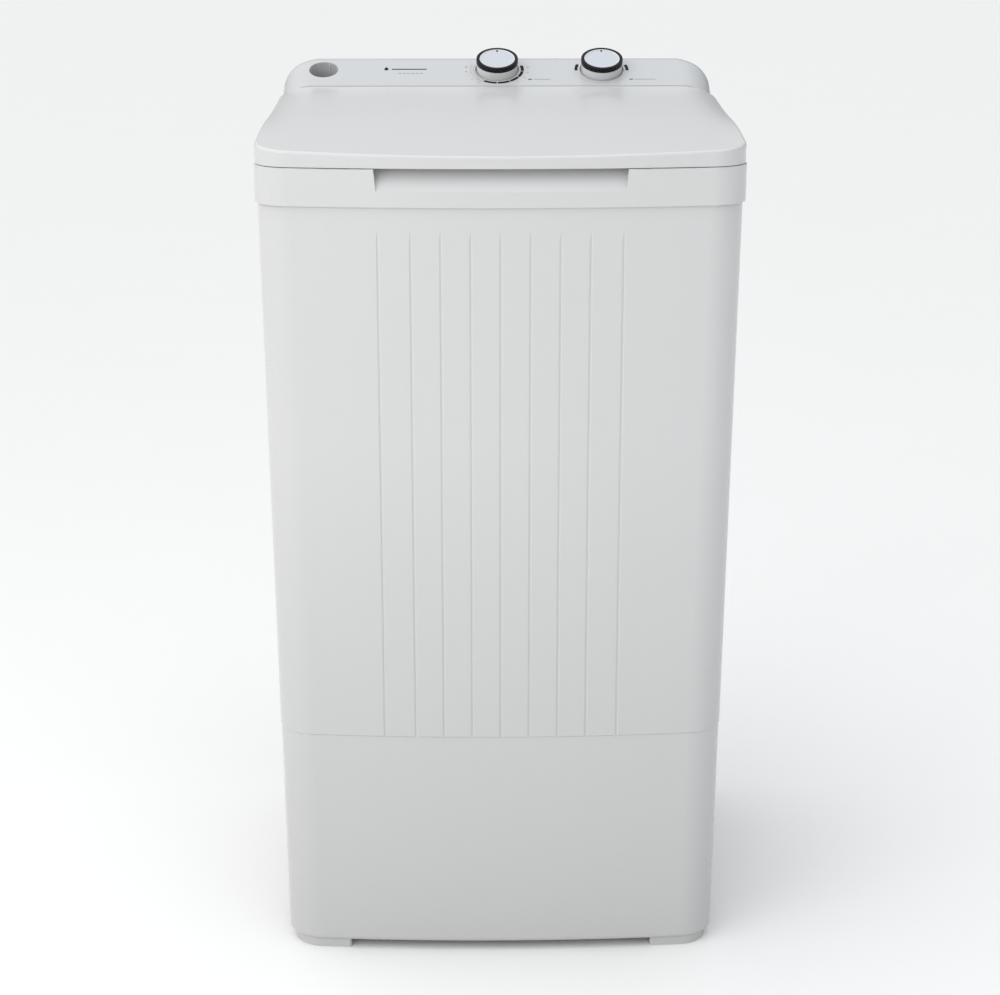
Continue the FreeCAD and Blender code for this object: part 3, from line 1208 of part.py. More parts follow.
# ---------------------------------------------------------------- rear of the machine
def make_service_panel():
    skin = body_block(PANEL_Z, PANEL_Z + PANEL_H, SEAM_STEP - PANEL_T).cut(
        body_block(PANEL_Z - 1, PANEL_Z + PANEL_H + 1, SEAM_STEP))
    panel = skin.common(box(-PANEL_W / 2, PANEL_W / 2, 200, REAR_Y + 5, PANEL_Z, PANEL_Z + PANEL_H))
    for n in range(LOUVRES):
        z = PANEL_Z + 46.0 + 14.0 * n
        panel = panel.cut(box(-60, 60, 200, REAR_Y + 5, z, z + 5.0))
    for seat in panel_screws():
        panel = panel.cut(screw_hole(seat, V(0, 1, 0)))
    return panel.removeSplitter()


def make_cord_gland():
    at = rear_face(GLAND_Z)
    body = rod(GLAND_R, V(GLAND_X, at - 14.0, GLAND_Z), V(0, 1, 0), 20.0)
    collar = rod(GLAND_R + 4.0, V(GLAND_X, at + 0.2, GLAND_Z), V(0, 1, 0), 3.0)
    nut = rod(GLAND_R + 4.0, V(GLAND_X, at - 10.0, GLAND_Z), V(0, 1, 0), 6.0)
    return fuse([body, collar, nut]).cut(rod(GLAND_BORE_R, V(GLAND_X, at - 20, GLAND_Z), V(0, 1, 0), 40.0))


def make_wiring():
    """Harness from the timer down behind the tub to the motor."""
    foot = dial_point(TIMER_X, 0, UNIT_TOP - UNIT_H - 6.5)
    lane_y = foot.y
    path = [V(0, lane_y, foot.z - 0.5), V(0, lane_y, 255.0), V(MOTOR_X - 40, lane_y, 255.0),
            V(MOTOR_X - 40, lane_y, MOTOR_Z + 60), V(MOTOR_X - 40, MOTOR_AT.y + MOTOR_R - 8.0, MOTOR_Z + 60)]
    return tube(path, 14.0, 4.0, 0)


PARTS = {}


def build():
    PARTS["cabinet"] = make_cabinet()
    PARTS["base"] = make_base()
    PARTS.update(make_feet())
    PARTS["service_panel"] = make_service_panel()
    PARTS["panel_screws"] = screws(panel_screws(), V(0, 1, 0))
    PARTS["top_frame"] = make_top_frame()
    PARTS["control_console"] = make_console()
    PARTS["console_screws"] = screws(console_screw_seats(), V(0, 0, -1))
    PARTS["lid"] = make_lid()
    PARTS["lid_hinge_pins"] = make_hinge_pins()
    PARTS["lid_bumpers"] = make_bumpers()
    PARTS["inlet_chute"] = make_inlet_chute()
    for name, x in (("timer", TIMER_X), ("selector", SELECTOR_X)):
        skirt, grip, cap = make_dial(x)
        PARTS[name + "_dial"] = skirt
        PARTS[name + "_grip_ring"] = grip
        PARTS[name + "_dial_cap"] = cap
    PARTS["timer_unit"] = make_timer_unit()
    PARTS["timer_shaft"] = make_dial_shaft(TIMER_X, SHAFT_FOOT)
    PARTS["selector_unit"] = make_selector_unit()
    PARTS["selector_shaft"] = make_dial_shaft(SELECTOR_X, UNIT_TOP - 30.0)
    PARTS["selector_drum"] = make_selector_drum()
    PARTS["wash_tub"] = make_wash_tub()
    PARTS["overflow_cover"] = make_overflow_cover()
    PARTS["overflow_pipe"] = make_overflow_pipe()
    PARTS["pulsator"] = make_pulsator()
    PARTS["pulsator_screw"] = make_pulsator_screw()
    PARTS["pulsator_cap"] = make_pulsator_cap()
    PARTS["pulsator_shaft"] = make_pulsator_shaft()
    PARTS["shaft_housing"] = make_shaft_housing()
    PARTS["housing_bolts"] = screws(housing_bolt_seats(), V(0, 0, -1), 7.0)
    PARTS["shaft_bushes"] = Part.makeCompound([make_bush(HOUSING_Z), make_bush(FLOOR_UNDER - BUSH_L)])
    PARTS["shaft_seal"] = make_shaft_seal()
    PARTS["driven_pulley"] = make_driven_pulley()
    PARTS["motor_pulley"] = make_driver_pulley()
    PARTS["drive_belt"] = make_belt()
    PARTS["motor_frame"] = make_motor_frame()
    PARTS["motor_stator"] = make_stator()
    PARTS["motor_rotor"] = make_rotor()
    PARTS["motor_bracket"] = make_motor_bracket()
    PARTS["motor_grommets"] = make_motor_grommets()
    PARTS["motor_bolts"] = make_motor_bolts()
    PARTS["bracket_screws"] = screws([p + UP * (BRACKET_Z + BRACKET_T) for p in bracket_posts()], UP)
    PARTS["capacitor"] = make_capacitor()
    PARTS["capacitor_clip"] = make_capacitor_clip()
    PARTS["drain_elbow"] = make_drain_elbow()
    PARTS["valve_body"] = make_valve_body()
    PARTS["valve_cap"] = make_valve_cap()
    PARTS["valve_plunger"] = make_valve_plunger()
    PARTS["valve_bellows"] = make_valve_bellows()
    PARTS["drain_strap"] = make_drain_strap()
    PARTS["strap_pin"] = make_strap_pin()
    PARTS["drain_cord"] = make_drain_cord()
    PARTS["drain_hose"] = make_drain_hose()
    PARTS["drain_spigot"] = make_drain_spigot()
    PARTS["cord_gland"] = make_cord_gland()
    PARTS["wiring_harness"] = make_wiring()


build()
os.makedirs("parts", exist_ok=True)
for name, shape in PARTS.items():
    print(name, shape.isValid(), len(shape.Solids), round(shape.Volume / 1000, 1), "cm3")
    shape.exportStep("parts/%s.step" % name)
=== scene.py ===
import json
import math
import bpy
from mathutils import Matrix, Vector


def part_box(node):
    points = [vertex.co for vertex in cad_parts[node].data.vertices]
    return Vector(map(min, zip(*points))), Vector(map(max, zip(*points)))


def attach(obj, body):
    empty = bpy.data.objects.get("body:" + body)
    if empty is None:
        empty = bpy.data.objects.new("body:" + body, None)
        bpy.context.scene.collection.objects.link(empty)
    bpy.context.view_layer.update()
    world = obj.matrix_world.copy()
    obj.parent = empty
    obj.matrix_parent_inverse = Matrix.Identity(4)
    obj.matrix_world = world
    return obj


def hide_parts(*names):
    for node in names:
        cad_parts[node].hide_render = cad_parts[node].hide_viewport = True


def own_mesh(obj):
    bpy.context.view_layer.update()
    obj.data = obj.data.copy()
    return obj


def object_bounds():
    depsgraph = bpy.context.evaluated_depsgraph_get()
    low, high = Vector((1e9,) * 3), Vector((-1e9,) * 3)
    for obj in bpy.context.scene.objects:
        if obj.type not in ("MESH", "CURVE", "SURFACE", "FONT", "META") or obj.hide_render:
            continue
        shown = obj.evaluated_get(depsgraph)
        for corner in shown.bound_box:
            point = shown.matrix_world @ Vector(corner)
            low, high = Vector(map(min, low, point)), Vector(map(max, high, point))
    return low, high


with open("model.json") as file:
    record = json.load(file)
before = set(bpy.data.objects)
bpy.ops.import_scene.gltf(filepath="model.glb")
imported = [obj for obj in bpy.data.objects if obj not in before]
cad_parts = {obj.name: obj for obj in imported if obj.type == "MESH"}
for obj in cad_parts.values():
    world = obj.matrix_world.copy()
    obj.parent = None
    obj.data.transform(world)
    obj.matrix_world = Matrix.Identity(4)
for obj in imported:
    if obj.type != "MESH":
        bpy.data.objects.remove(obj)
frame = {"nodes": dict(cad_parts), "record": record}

nodes = frame["nodes"]
record = frame["record"]
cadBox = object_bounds()
print("frame loaded:", len(nodes), "nodes")


# small helpers for edit mode and for placing things

def leaveEdit():
    if bpy.context.object and bpy.context.object.mode != "OBJECT":
        bpy.ops.object.mode_set(mode="OBJECT")


def deselectAll():
    leaveEdit()
    bpy.ops.object.select_all(action="DESELECT")


def choose(piece):  # makes it the only piece selected, and the active one
    deselectAll()
    piece.select_set(True)
    bpy.context.view_layer.objects.active = piece


def startPiece(name):  # names the primitive just added and gives it its own mesh name
    piece = bpy.context.object
    piece.name = name
    piece.data.name = name
    return piece


def clearPick(kind):
    bpy.ops.object.mode_set(mode="EDIT")
    bpy.ops.mesh.select_mode(type=kind)
    bpy.ops.mesh.select_all(action="DESELECT")
    bpy.ops.object.mode_set(mode="OBJECT")


def pickPoints(piece, wanted):  # selects points by their place, and leaves edit mode on
    clearPick("VERT")
    for point in piece.data.vertices:
        point.select = wanted(point.co)
    bpy.ops.object.mode_set(mode="EDIT")


def pickEdges(piece, wanted):  # selects edges with both ends in a wanted place
    clearPick("EDGE")
    for edge in piece.data.edges:
        edge.select = all(wanted(piece.data.vertices[end].co) for end in edge.vertices)
    bpy.ops.object.mode_set(mode="EDIT")


def mergeDoubles(piece, gap):
    choose(piece)
    bpy.ops.object.mode_set(mode="EDIT")
    bpy.ops.mesh.select_all(action="SELECT")
    bpy.ops.mesh.remove_doubles(threshold=gap)
    leaveEdit()


def settle(piece, move=None):  # puts the place into the mesh, so the object sits at the origin
    choose(piece)
    if move is not None:
        piece.matrix_world = move @ piece.matrix_world
    bpy.ops.object.transform_apply(location=True, rotation=True, scale=True)


def joinAll(pieces, name):
    choose(pieces[0])
    for piece in pieces:
        piece.select_set(True)
    if len(pieces) > 1:
        bpy.ops.object.join()
    return startPiece(name)


def copyPiece(piece):
    twin = piece.copy()
    twin.data = piece.data.copy()
    bpy.context.collection.objects.link(twin)
    return twin


def softEdges(piece, angle=30):
    choose(piece)
    bpy.ops.object.shade_smooth_by_angle(angle=math.radians(angle))


def dress(piece, material):
    piece.data.materials.clear()
    piece.data.materials.append(material)


# materials

def nodeMaterial(name):
    material = bpy.data.materials.new(name)
    material.use_nodes = True
    tree = material.node_tree
    tree.nodes.clear()
    out = tree.nodes.new("ShaderNodeOutputMaterial")
    shader = tree.nodes.new("ShaderNodeBsdfPrincipled")
    tree.links.new(shader.outputs["BSDF"], out.inputs["Surface"])
    place = tree.nodes.new("ShaderNodeTexCoord")
    return material, tree, shader, place.outputs["Object"]


def noiseOn(tree, place, scale, detail=3.0):
    noise = tree.nodes.new("ShaderNodeTexNoise")
    noise.inputs["Scale"].default_value = scale
    noise.inputs["Detail"].default_value = detail
    noise.inputs["Roughness"].default_value = 0.5
    tree.links.new(place, noise.inputs["Vector"])
    return noise.outputs["Fac"]


def ramp(tree, value, start, end, low, high):
    remap = tree.nodes.new("ShaderNodeMapRange")
    remap.inputs["From Min"].default_value = start
    remap.inputs["From Max"].default_value = end
    remap.inputs["To Min"].default_value = low
    remap.inputs["To Max"].default_value = high
    tree.links.new(value, remap.inputs["Value"])
    return remap.outputs["Result"]


def spread(tree, noise, low, high):  # maps the middle of a noise onto low to high
    return ramp(tree, noise, 0.3, 0.7, low, high)


def twoTones(tree, factor, dark, light):
    mix = tree.nodes.new("ShaderNodeMix")
    mix.data_type = "RGBA"
    mix.inputs["A"].default_value = (*dark, 1)
    mix.inputs["B"].default_value = (*light, 1)
    tree.links.new(factor, mix.inputs["Factor"])
    return mix.outputs["Result"]


def bumpFrom(tree, shader, height, strength, distance):
    bump = tree.nodes.new("ShaderNodeBump")
    bump.inputs["Strength"].default_value = strength
    bump.inputs["Distance"].default_value = distance
    tree.links.new(height, bump.inputs["Height"])
    tree.links.new(bump.outputs["Normal"], shader.inputs["Normal"])


whitePlasticLook = {
    "light": (0.612, 0.610, 0.612),
    "dark": (0.604, 0.602, 0.605),
    "blotch": 3.0,        # slow drift of the moulding's colour, per metre
    "haze": 5.0,          # slow drift of its gloss
    "gloss": (0.205, 0.22),
    "peel": 260.0,        # orange peel of a polished mould
    "peelStrength": 0.012,
    "peelDepth": 0.0004,
    "footShade": 0.82,    # painted shade: the shell's colour darkens slowly towards the floor
    "shadeTop": 0.6,      # the painted shade works from this height down
    "ior": 1.49,
}

otherWhites = {
    "dialWhitePlastic": {"light": (0.64, 0.64, 0.645), "dark": (0.63, 0.63, 0.635),
                         "gloss": (0.18, 0.22), "peelStrength": 0.01},
    "consolePlastic": {"light": (0.525, 0.53, 0.535), "dark": (0.518, 0.523, 0.528)},
    # painted reflection: the dial faces are tinted bluish grey for the surroundings they mirror
    "dialFacePlastic": {"light": (0.535, 0.555, 0.60), "dark": (0.525, 0.545, 0.59),
                        "gloss": (0.3, 0.34), "peelStrength": 0.01},
    "tubPlastic": {"light": (0.64, 0.65, 0.66), "dark": (0.62, 0.63, 0.645),
                   "gloss": (0.3, 0.36), "blotch": 8.0},
}


def whitePlastic(name="whitePlastic"):
    look = dict(whitePlasticLook, **otherWhites.get(name, {}))
    material, tree, shader, place = nodeMaterial(name)
    blotch = spread(tree, noiseOn(tree, place, look["blotch"], 2.0), 0.0, 1.0)
    # painted shade: the base colour is scaled down towards the floor, on every white plastic
    split = tree.nodes.new("ShaderNodeSeparateXYZ")
    tree.links.new(place, split.inputs[0])
    paintedShadeFade = ramp(tree, split.outputs["Z"], 0.0, look["shadeTop"], look["footShade"], 1.0)
    paintedShadeColour = tree.nodes.new("ShaderNodeVectorMath")
    paintedShadeColour.operation = "SCALE"
    tree.links.new(twoTones(tree, blotch, look["dark"], look["light"]), paintedShadeColour.inputs[0])
    tree.links.new(paintedShadeFade, paintedShadeColour.inputs["Scale"])
    tree.links.new(paintedShadeColour.outputs["Vector"], shader.inputs["Base Color"])
    haze = spread(tree, noiseOn(tree, place, look["haze"], 1.0), *look["gloss"])
    tree.links.new(haze, shader.inputs["Roughness"])
    peel = noiseOn(tree, place, look["peel"], 2.0)
    bumpFrom(tree, shader, peel, look["peelStrength"], look["peelDepth"])
    shader.inputs["IOR"].default_value = look["ior"]
    return material


blackSatinLook = {
    "dark": (0.004, 0.004, 0.005),
    "light": (0.008, 0.008, 0.009),
    "blotch": 60.0,
    "haze": 900.0,
    "gloss": (0.34, 0.46),
    "specular": 0.14,
    "grain": 1800.0,      # fine spark-eroded grain
    "grainStrength": 0.08,
    "grainDepth": 0.0002,
}


def blackSatinPlastic():
    look = blackSatinLook
    material, tree, shader, place = nodeMaterial("blackSatinPlastic")
    blotch = spread(tree, noiseOn(tree, place, look["blotch"]), 0.0, 1.0)
    tone = twoTones(tree, blotch, look["dark"], look["light"])
    tree.links.new(tone, shader.inputs["Base Color"])
    haze = spread(tree, noiseOn(tree, place, look["haze"]), *look["gloss"])
    tree.links.new(haze, shader.inputs["Roughness"])
    shader.inputs["Specular IOR Level"].default_value = look["specular"]
    grain = noiseOn(tree, place, look["grain"])
    bumpFrom(tree, shader, grain, look["grainStrength"], look["grainDepth"])
    return material


def plainMix(name, dark, light, gloss, scale, metal=0.0, bump=0.06, sheen=0.5):
    material, tree, shader, place = nodeMaterial(name)
    blotch = spread(tree, noiseOn(tree, place, scale, 4.0), 0.0, 1.0)
    tree.links.new(twoTones(tree, blotch, dark, light), shader.inputs["Base Color"])
    haze = spread(tree, noiseOn(tree, place, scale * 6, 4.0), *gloss)
    tree.links.new(haze, shader.inputs["Roughness"])
    shader.inputs["Metallic"].default_value = metal
    shader.inputs["Specular IOR Level"].default_value = sheen
    bumpFrom(tree, shader, noiseOn(tree, place, 700.0), bump, 0.0003)
    return material


looks = {
    "white_shell": whitePlastic(),
    "dial_white": whitePlastic("dialWhitePlastic"),
    "dial_black": blackSatinPlastic(),
    "tub_white": whitePlastic("tubPlastic"),
    "pulsator_grey": plainMix("pulsatorPlastic", (0.30, 0.34, 0.40), (0.34, 0.38, 0.44),
                              (0.25, 0.34), 20.0, bump=0.03),
    "rubber_black": plainMix("blackRubber", (0.012, 0.012, 0.012), (0.022, 0.022, 0.022),
                             (0.65, 0.8), 120.0, bump=0.12),
    "screw_steel": plainMix("zincPlate", (0.50, 0.50, 0.49), (0.62, 0.62, 0.62),
                            (0.25, 0.38), 300.0, metal=1.0),
    "shaft_steel": plainMix("groundSteel", (0.46, 0.46, 0.47), (0.58, 0.58, 0.59),
                            (0.18, 0.3), 240.0, metal=1.0),
    "bush_bronze": plainMix("sinteredBronze", (0.42, 0.26, 0.11), (0.52, 0.34, 0.16),
                            (0.35, 0.5), 300.0, metal=1.0),
    "cast_alloy": plainMix("castAlloy", (0.40, 0.40, 0.41), (0.52, 0.52, 0.53),
                           (0.42, 0.58), 160.0, metal=1.0, bump=0.15),
    "motor_paint": plainMix("motorPaint", (0.045, 0.048, 0.055), (0.06, 0.064, 0.07),
                            (0.35, 0.5), 60.0),
    "stator_iron": plainMix("statorIron", (0.05, 0.035, 0.03), (0.09, 0.06, 0.05),
                            (0.4, 0.6), 200.0, metal=0.6),
    "unit_plastic": plainMix("darkPlastic", (0.02, 0.02, 0.022), (0.035, 0.035, 0.038),
                             (0.4, 0.55), 90.0),
    "valve_plastic": plainMix("milkyPlastic", (0.50, 0.51, 0.53), (0.58, 0.59, 0.60),
                              (0.35, 0.5), 50.0),
    "hose_grey": plainMix("hoseRubber", (0.14, 0.145, 0.15), (0.18, 0.185, 0.19),
                          (0.5, 0.65), 70.0, bump=0.1),
    "cord_white": plainMix("braidedCord", (0.5, 0.5, 0.47), (0.62, 0.62, 0.58),
                           (0.7, 0.85), 900.0, bump=0.3),
    "wire_black": plainMix("sleeveBlack", (0.012, 0.012, 0.013), (0.025, 0.025, 0.026),
                           (0.45, 0.6), 300.0, bump=0.15),
}
# the dial faces' material, tinted bluish grey as a painted reflection
paintedReflectionFace = whitePlastic("dialFacePlastic")
ownLooks = {  # nodes that differ from the rest of their slot
    "timer_dial_cap": paintedReflectionFace,
    "selector_dial_cap": paintedReflectionFace,
    "control_console": whitePlastic("consolePlastic"),
}
slotOf = {part["node"]: part["material_slot"] for part in record["subparts"]}
for name, slotName in slotOf.items():
    for slot in nodes[name].material_slots:
        slot.material = ownLooks.get(name, looks[slotName])
print("materials set on the frame's nodes")

blackInk = plainMix("printedBlack", (0.006, 0.006, 0.007), (0.01, 0.01, 0.011),
                    (0.4, 0.5), 200.0, bump=0.02, sheen=0.1)
# painted highlight: the dial face rims are brighter than the dial's own white
rimWhite = plainMix("rimWhite", (0.80, 0.80, 0.81), (0.82, 0.82, 0.83),
                    (0.2, 0.25), 200.0, bump=0.0)
paleInk = plainMix("printedPale", (0.36, 0.36, 0.37), (0.42, 0.42, 0.43),
                   (0.4, 0.5), 200.0, bump=0.02)
greyInk = plainMix("printedGrey", (0.23, 0.23, 0.24), (0.28, 0.28, 0.29),
                   (0.4, 0.5), 200.0, bump=0.02)
dotGrey = plainMix("gripDotGrey", (0.16, 0.16, 0.165), (0.22, 0.22, 0.225),
                   (0.4, 0.5), 300.0, bump=0.02)


# the console's slope, as a place to draw on; the dials' joint gives its direction

def jointNamed(name):
    return next(joint for joint in record["behaviour"]["joints"] if joint["name"] == name)


dialJoint = jointNamed("timer_turn")
dialFoot = Vector(dialJoint["pos_m"])
slopeOut = -Vector(dialJoint["axis"])
slopeUp = Vector((0, slopeOut.z, -slopeOut.y))
consoleTilt = math.atan2(-slopeOut.y, slopeOut.z)


def slopeAt(x, proud):  # a frame on the slope, on the line of the dials
    spot = Vector((x, dialFoot.y, dialFoot.z)) + slopeOut * proud
    return Matrix.Translation(spot) @ Matrix.Rotation(consoleTilt, 4, "X")


def middleX(name):
    low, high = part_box(name)
    return (low.x + high.x) / 2


timerX = middleX("timer_dial_cap")
selectorX = middleX("selector_dial_cap")


# printing: thin inked bands spun about a dial's axis, bars and numbers

printing = {
    "thick": 0.00012,
    "proud": 0.00002,
    "bandMiddle": 0.0304,     # inked band round each dial
    "bandWidth": 0.0037,
    "lineWidth": 0.00042,
    "facet": 5,               # degrees of turn in each facet
    "seed": 0.00002,          # width of the sliver that a band is spun from
    "merge": 0.000005,
    "digitHeight": 0.0034,
    "digitRadius": 0.0375,
}


def inkBand(name, radius, width, startDeg, endDeg):  # angles clockwise from the slope's top
    deselectAll()
    bpy.ops.mesh.primitive_plane_add(size=1, location=(0, 0, 0))
    band = startPiece(name)
    bpy.ops.transform.resize(value=(printing["seed"], width, 1))
    settle(band)
    bpy.ops.object.mode_set(mode="EDIT")
    bpy.ops.mesh.select_all(action="SELECT")
    bpy.ops.transform.translate(value=(0, radius, 0))
    leaveEdit()
    pickEdges(band, lambda spot: spot.x > 0)
    steps = max(3, int(abs(endDeg - startDeg) / printing["facet"]))
    turn = math.radians(endDeg - startDeg)
    bpy.ops.mesh.spin(steps=steps, angle=turn, center=(0, 0, 0), axis=(0, 0, 1))
    mergeDoubles(band, printing["merge"])
    settle(band, Matrix.Rotation(-math.radians(startDeg), 4, "Z"))
    return band


def flatPlace(x, y, turnDeg):
    return Matrix.Translation((x, y, 0)) @ Matrix.Rotation(math.radians(turnDeg), 4, "Z")


def inkBar(name, x, y, wide, tall, turnDeg=0.0):
    deselectAll()
    bpy.ops.mesh.primitive_plane_add(size=1, location=(0, 0, 0))
    bar = startPiece(name)
    bpy.ops.transform.resize(value=(wide, tall, 1))
    settle(bar, flatPlace(x, y, turnDeg))
    return bar


def digits(name, text, x, y, tall, turnDeg=0.0):
    deselectAll()
    bpy.ops.object.text_add(location=(0, 0, 0))
    label = startPiece(name)
    label.data.body = text
    label.data.size = tall
    label.data.align_x = "CENTER"
    label.data.align_y = "CENTER"
    label.data.resolution_u = 3
    bpy.ops.object.convert(target="MESH")
    label = startPiece(name)
    settle(label, flatPlace(x, y, turnDeg))
    return label


def thicken(piece):
    choose(piece)
    bpy.ops.object.mode_set(mode="EDIT")
    bpy.ops.mesh.select_all(action="SELECT")
    bpy.ops.mesh.normals_make_consistent(inside=False)
    leaveEdit()
    ink = piece.modifiers.new("ink", "SOLIDIFY")
    ink.thickness = printing["thick"]
    ink.offset = 0
    bpy.ops.object.modifier_apply(modifier=ink.name)


def printOnConsole(pieces, name, x, material):
    whole = joinAll(pieces, name)
    thicken(whole)
    settle(whole, slopeAt(x, printing["proud"] + printing["thick"] / 2))
    dress(whole, material)
    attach(whole, "machine")


def outlineBand(startDeg, endDeg):
    radii = [printing["bandMiddle"] + side * printing["bandWidth"] / 2 for side in (-1, 1)]
    return [inkBand("fineLine", radius, printing["lineWidth"], startDeg, endDeg)
            for radius in radii]


timerScale = {
    "bands": ((73, 95.5), (98, 123), (125.5, 149), (151.5, 179), (181.5, 211)),
    "outline": (212, 290),
    "numbers": {"15": 82, "12": 101, "9": 119, "6": 138, "3": 218, "2": 233, "1": 248,
                "0": 263, "00": 279},
    "turned": (100, 260),     # between these the numbers are set the other way up
}


def printTimerScale():
    bands = [inkBand("timerBand", printing["bandMiddle"], printing["bandWidth"], *span)
             for span in timerScale["bands"]]
    printOnConsole(bands, "timerScale", timerX, blackInk)
    numbers = []
    first, last = timerScale["turned"]
    for label, deg in timerScale["numbers"].items():
        x = printing["digitRadius"] * math.sin(math.radians(deg))
        y = printing["digitRadius"] * math.cos(math.radians(deg))
        turnDeg = 180 - deg if first < deg < last else -deg
        numbers.append(digits("timerNumber", label, x, y, printing["digitHeight"], turnDeg))
    outline = outlineBand(*timerScale["outline"])
    printOnConsole(numbers + outline, "timerNumbers", timerX, greyInk)


selectorScale = {
    "outline": (95, 265),
    "arcs": ((70, 94), (266, 292)),
    "arcOut": 0.0004,         # the arcs stand a little outside the band
}


def printSelectorScale():
    outline = outlineBand(*selectorScale["outline"])
    printOnConsole(outline, "selectorOutline", selectorX, paleInk)
    radius = printing["bandMiddle"] + selectorScale["arcOut"]
    arcs = [inkBand("selectorArc", radius, printing["bandWidth"], *span)
            for span in selectorScale["arcs"]]
    printOnConsole(arcs, "selectorArcs", selectorX, blackInk)


sideMarks = {  # a small blot and a row of strokes in place of words
    "y": -0.0225,
    "blotX": 0.0008,
    "blotWide": 0.0042,
    "blotTall": 0.0017,
    "blotTurn": 14.0,
    "firstStroke": 0.0055,
    "strokeStep": 0.0021,
    "strokeWide": 0.0015,
    "strokeTall": 0.0014,
    "strokeShort": 0.001,     # every third one
    "timerOut": 0.0385,       # from the dial's middle, then where its strokes end
    "timerEnd": 0.0265,
    "selectorOut": 0.034,
    "selectorEnd": 0.0325,
}


def printSideMark(name, x, end):
    y, start, step = sideMarks["y"], sideMarks["firstStroke"], sideMarks["strokeStep"]
    blot = inkBar("mark", sideMarks["blotX"], y, sideMarks["blotWide"], sideMarks["blotTall"],
                  sideMarks["blotTurn"])
    printOnConsole([blot], name, x, blackInk)
    strokes = []
    for n in range(int((end - start) / step)):
        tall = sideMarks["strokeTall"] if n % 3 else sideMarks["strokeShort"]
        strokes.append(inkBar("stroke", start + n * step, y, sideMarks["strokeWide"], tall))
    printOnConsole(strokes, name + "Strokes", x, greyInk)


dropMark = {  # a plain water drop, a bar and a row of dashes
    "x": -0.1335,
    "radius": 0.0026,
    "shoulder": 0.0008,       # the drop narrows above this
    "narrowing": 0.6,
    "stretch": 1.3,
    "raise": 0.001,
    "barX": 0.0275,
    "barY": 0.0008,
    "barWide": 0.042,
    "barTall": 0.0019,
    "dashes": 6,
    "firstDash": 0.0165,
    "dashStep": 0.0052,
    "dashY": -0.0085,
    "dashWide": 0.0034,
    "dashTall": 0.0014,
}


def drawDrop():  # a round whose upper rows are drawn in and pulled up to a tip
    deselectAll()
    bpy.ops.mesh.primitive_circle_add(vertices=32, radius=dropMark["radius"], fill_type="NGON")
    drop = startPiece("drop")
    shoulder = dropMark["shoulder"]
    reach = dropMark["radius"] - shoulder
    rows = {round(point.co.y, 6) for point in drop.data.vertices if point.co.y > shoulder}
    for row in sorted(rows, reverse=True):
        over = row - shoulder
        waist = max(0.0, 1 - over / reach) ** dropMark["narrowing"]
        pickPoints(drop, lambda spot: abs(spot.y - row) < 0.000001)
        bpy.ops.transform.resize(value=(waist, 1, 1), center_override=(0, 0, 0))
        bpy.ops.transform.translate(value=(0, over * dropMark["stretch"], 0))
        leaveEdit()
    settle(drop, Matrix.Translation((0, dropMark["raise"], 0)))
    return drop


def printDropMark():
    bar = inkBar("bar", dropMark["barX"], dropMark["barY"], dropMark["barWide"],
                 dropMark["barTall"])
    printOnConsole([drawDrop(), bar], "dropMark", dropMark["x"], blackInk)
    dashes = [inkBar("dash", dropMark["firstDash"] + dropMark["dashStep"] * n,
                     dropMark["dashY"], dropMark["dashWide"], dropMark["dashTall"])
              for n in range(dropMark["dashes"])]
    printOnConsole(dashes, "dropMarkStrokes", dropMark["x"], greyInk)


printDropMark()
printTimerScale()
printSelectorScale()
printSideMark("timerSideMark", timerX + sideMarks["timerOut"], sideMarks["timerEnd"])
printSideMark("selectorSideMark", selectorX + sideMarks["selectorOut"], sideMarks["selectorEnd"])
print("console printed")


# dotted grip on the black rings

gripDots = {"count": 60, "size": 0.00036, "flat": 0.45, "radius": 0.02502, "height": 0.0117,
            "rise": 0.0017}


def dotGrip(name, x, body):
    deselectAll()
    bpy.ops.mesh.primitive_ico_sphere_add(subdivisions=1, radius=gripDots["size"],
                                          location=(0, gripDots["radius"], 0))
    first = startPiece(name)
    bpy.ops.transform.resize(value=(1, gripDots["flat"], 1))
    settle(first)
    dots = [first]
    for n in range(1, gripDots["count"]):
        dot = copyPiece(first)
        rise = gripDots["rise"] if n % 2 else 0.0
        turn = math.tau / gripDots["count"] * n
        settle(dot, Matrix.Translation((0, 0, rise)) @ Matrix.Rotation(turn, 4, "Z"))
        dots.append(dot)
    whole = joinAll(dots, name)
    settle(whole, slopeAt(x, gripDots["height"]))
    dress(whole, dotGrey)
    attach(whole, body)


dotGrip("timerGripDots", timerX, "timer_dial")
dotGrip("selectorGripDots", selectorX, "selector_dial")
print("grip dots on both dials")


# rim round each dial's face: a rounded torus, painted brighter than the dial's white as the
# highlight on the face's bevel

faceRim = {"radius": 0.02075, "thick": 0.00052, "height": 0.0148, "around": 96, "across": 10}


def rimFace(name, x, body):
    deselectAll()
    bpy.ops.mesh.primitive_torus_add(
        major_segments=faceRim["around"], minor_segments=faceRim["across"],
        major_radius=faceRim["radius"], minor_radius=faceRim["thick"])
    rim = startPiece(name)
    settle(rim, slopeAt(x, faceRim["height"]))
    dress(rim, rimWhite)
    softEdges(rim, 60)
    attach(rim, body)


rimFace("timerFaceRim", timerX, "timer_dial")
rimFace("selectorFaceRim", selectorX, "selector_dial")
print("face rims on both dials")


# ribs in the fill socket

socketRibs = {
    "x": -0.209,
    "radius": 0.0175,
    "count": 8,
    "firstDeg": -21.0,
    "wide": 0.0012,
    "deep": 0.0011,
    "long": 0.0300,
    "edge": 0.0004,
    "sunk": 0.0001,           # into the socket's wall
    "below": 0.0022,          # the ribs start this far down
}


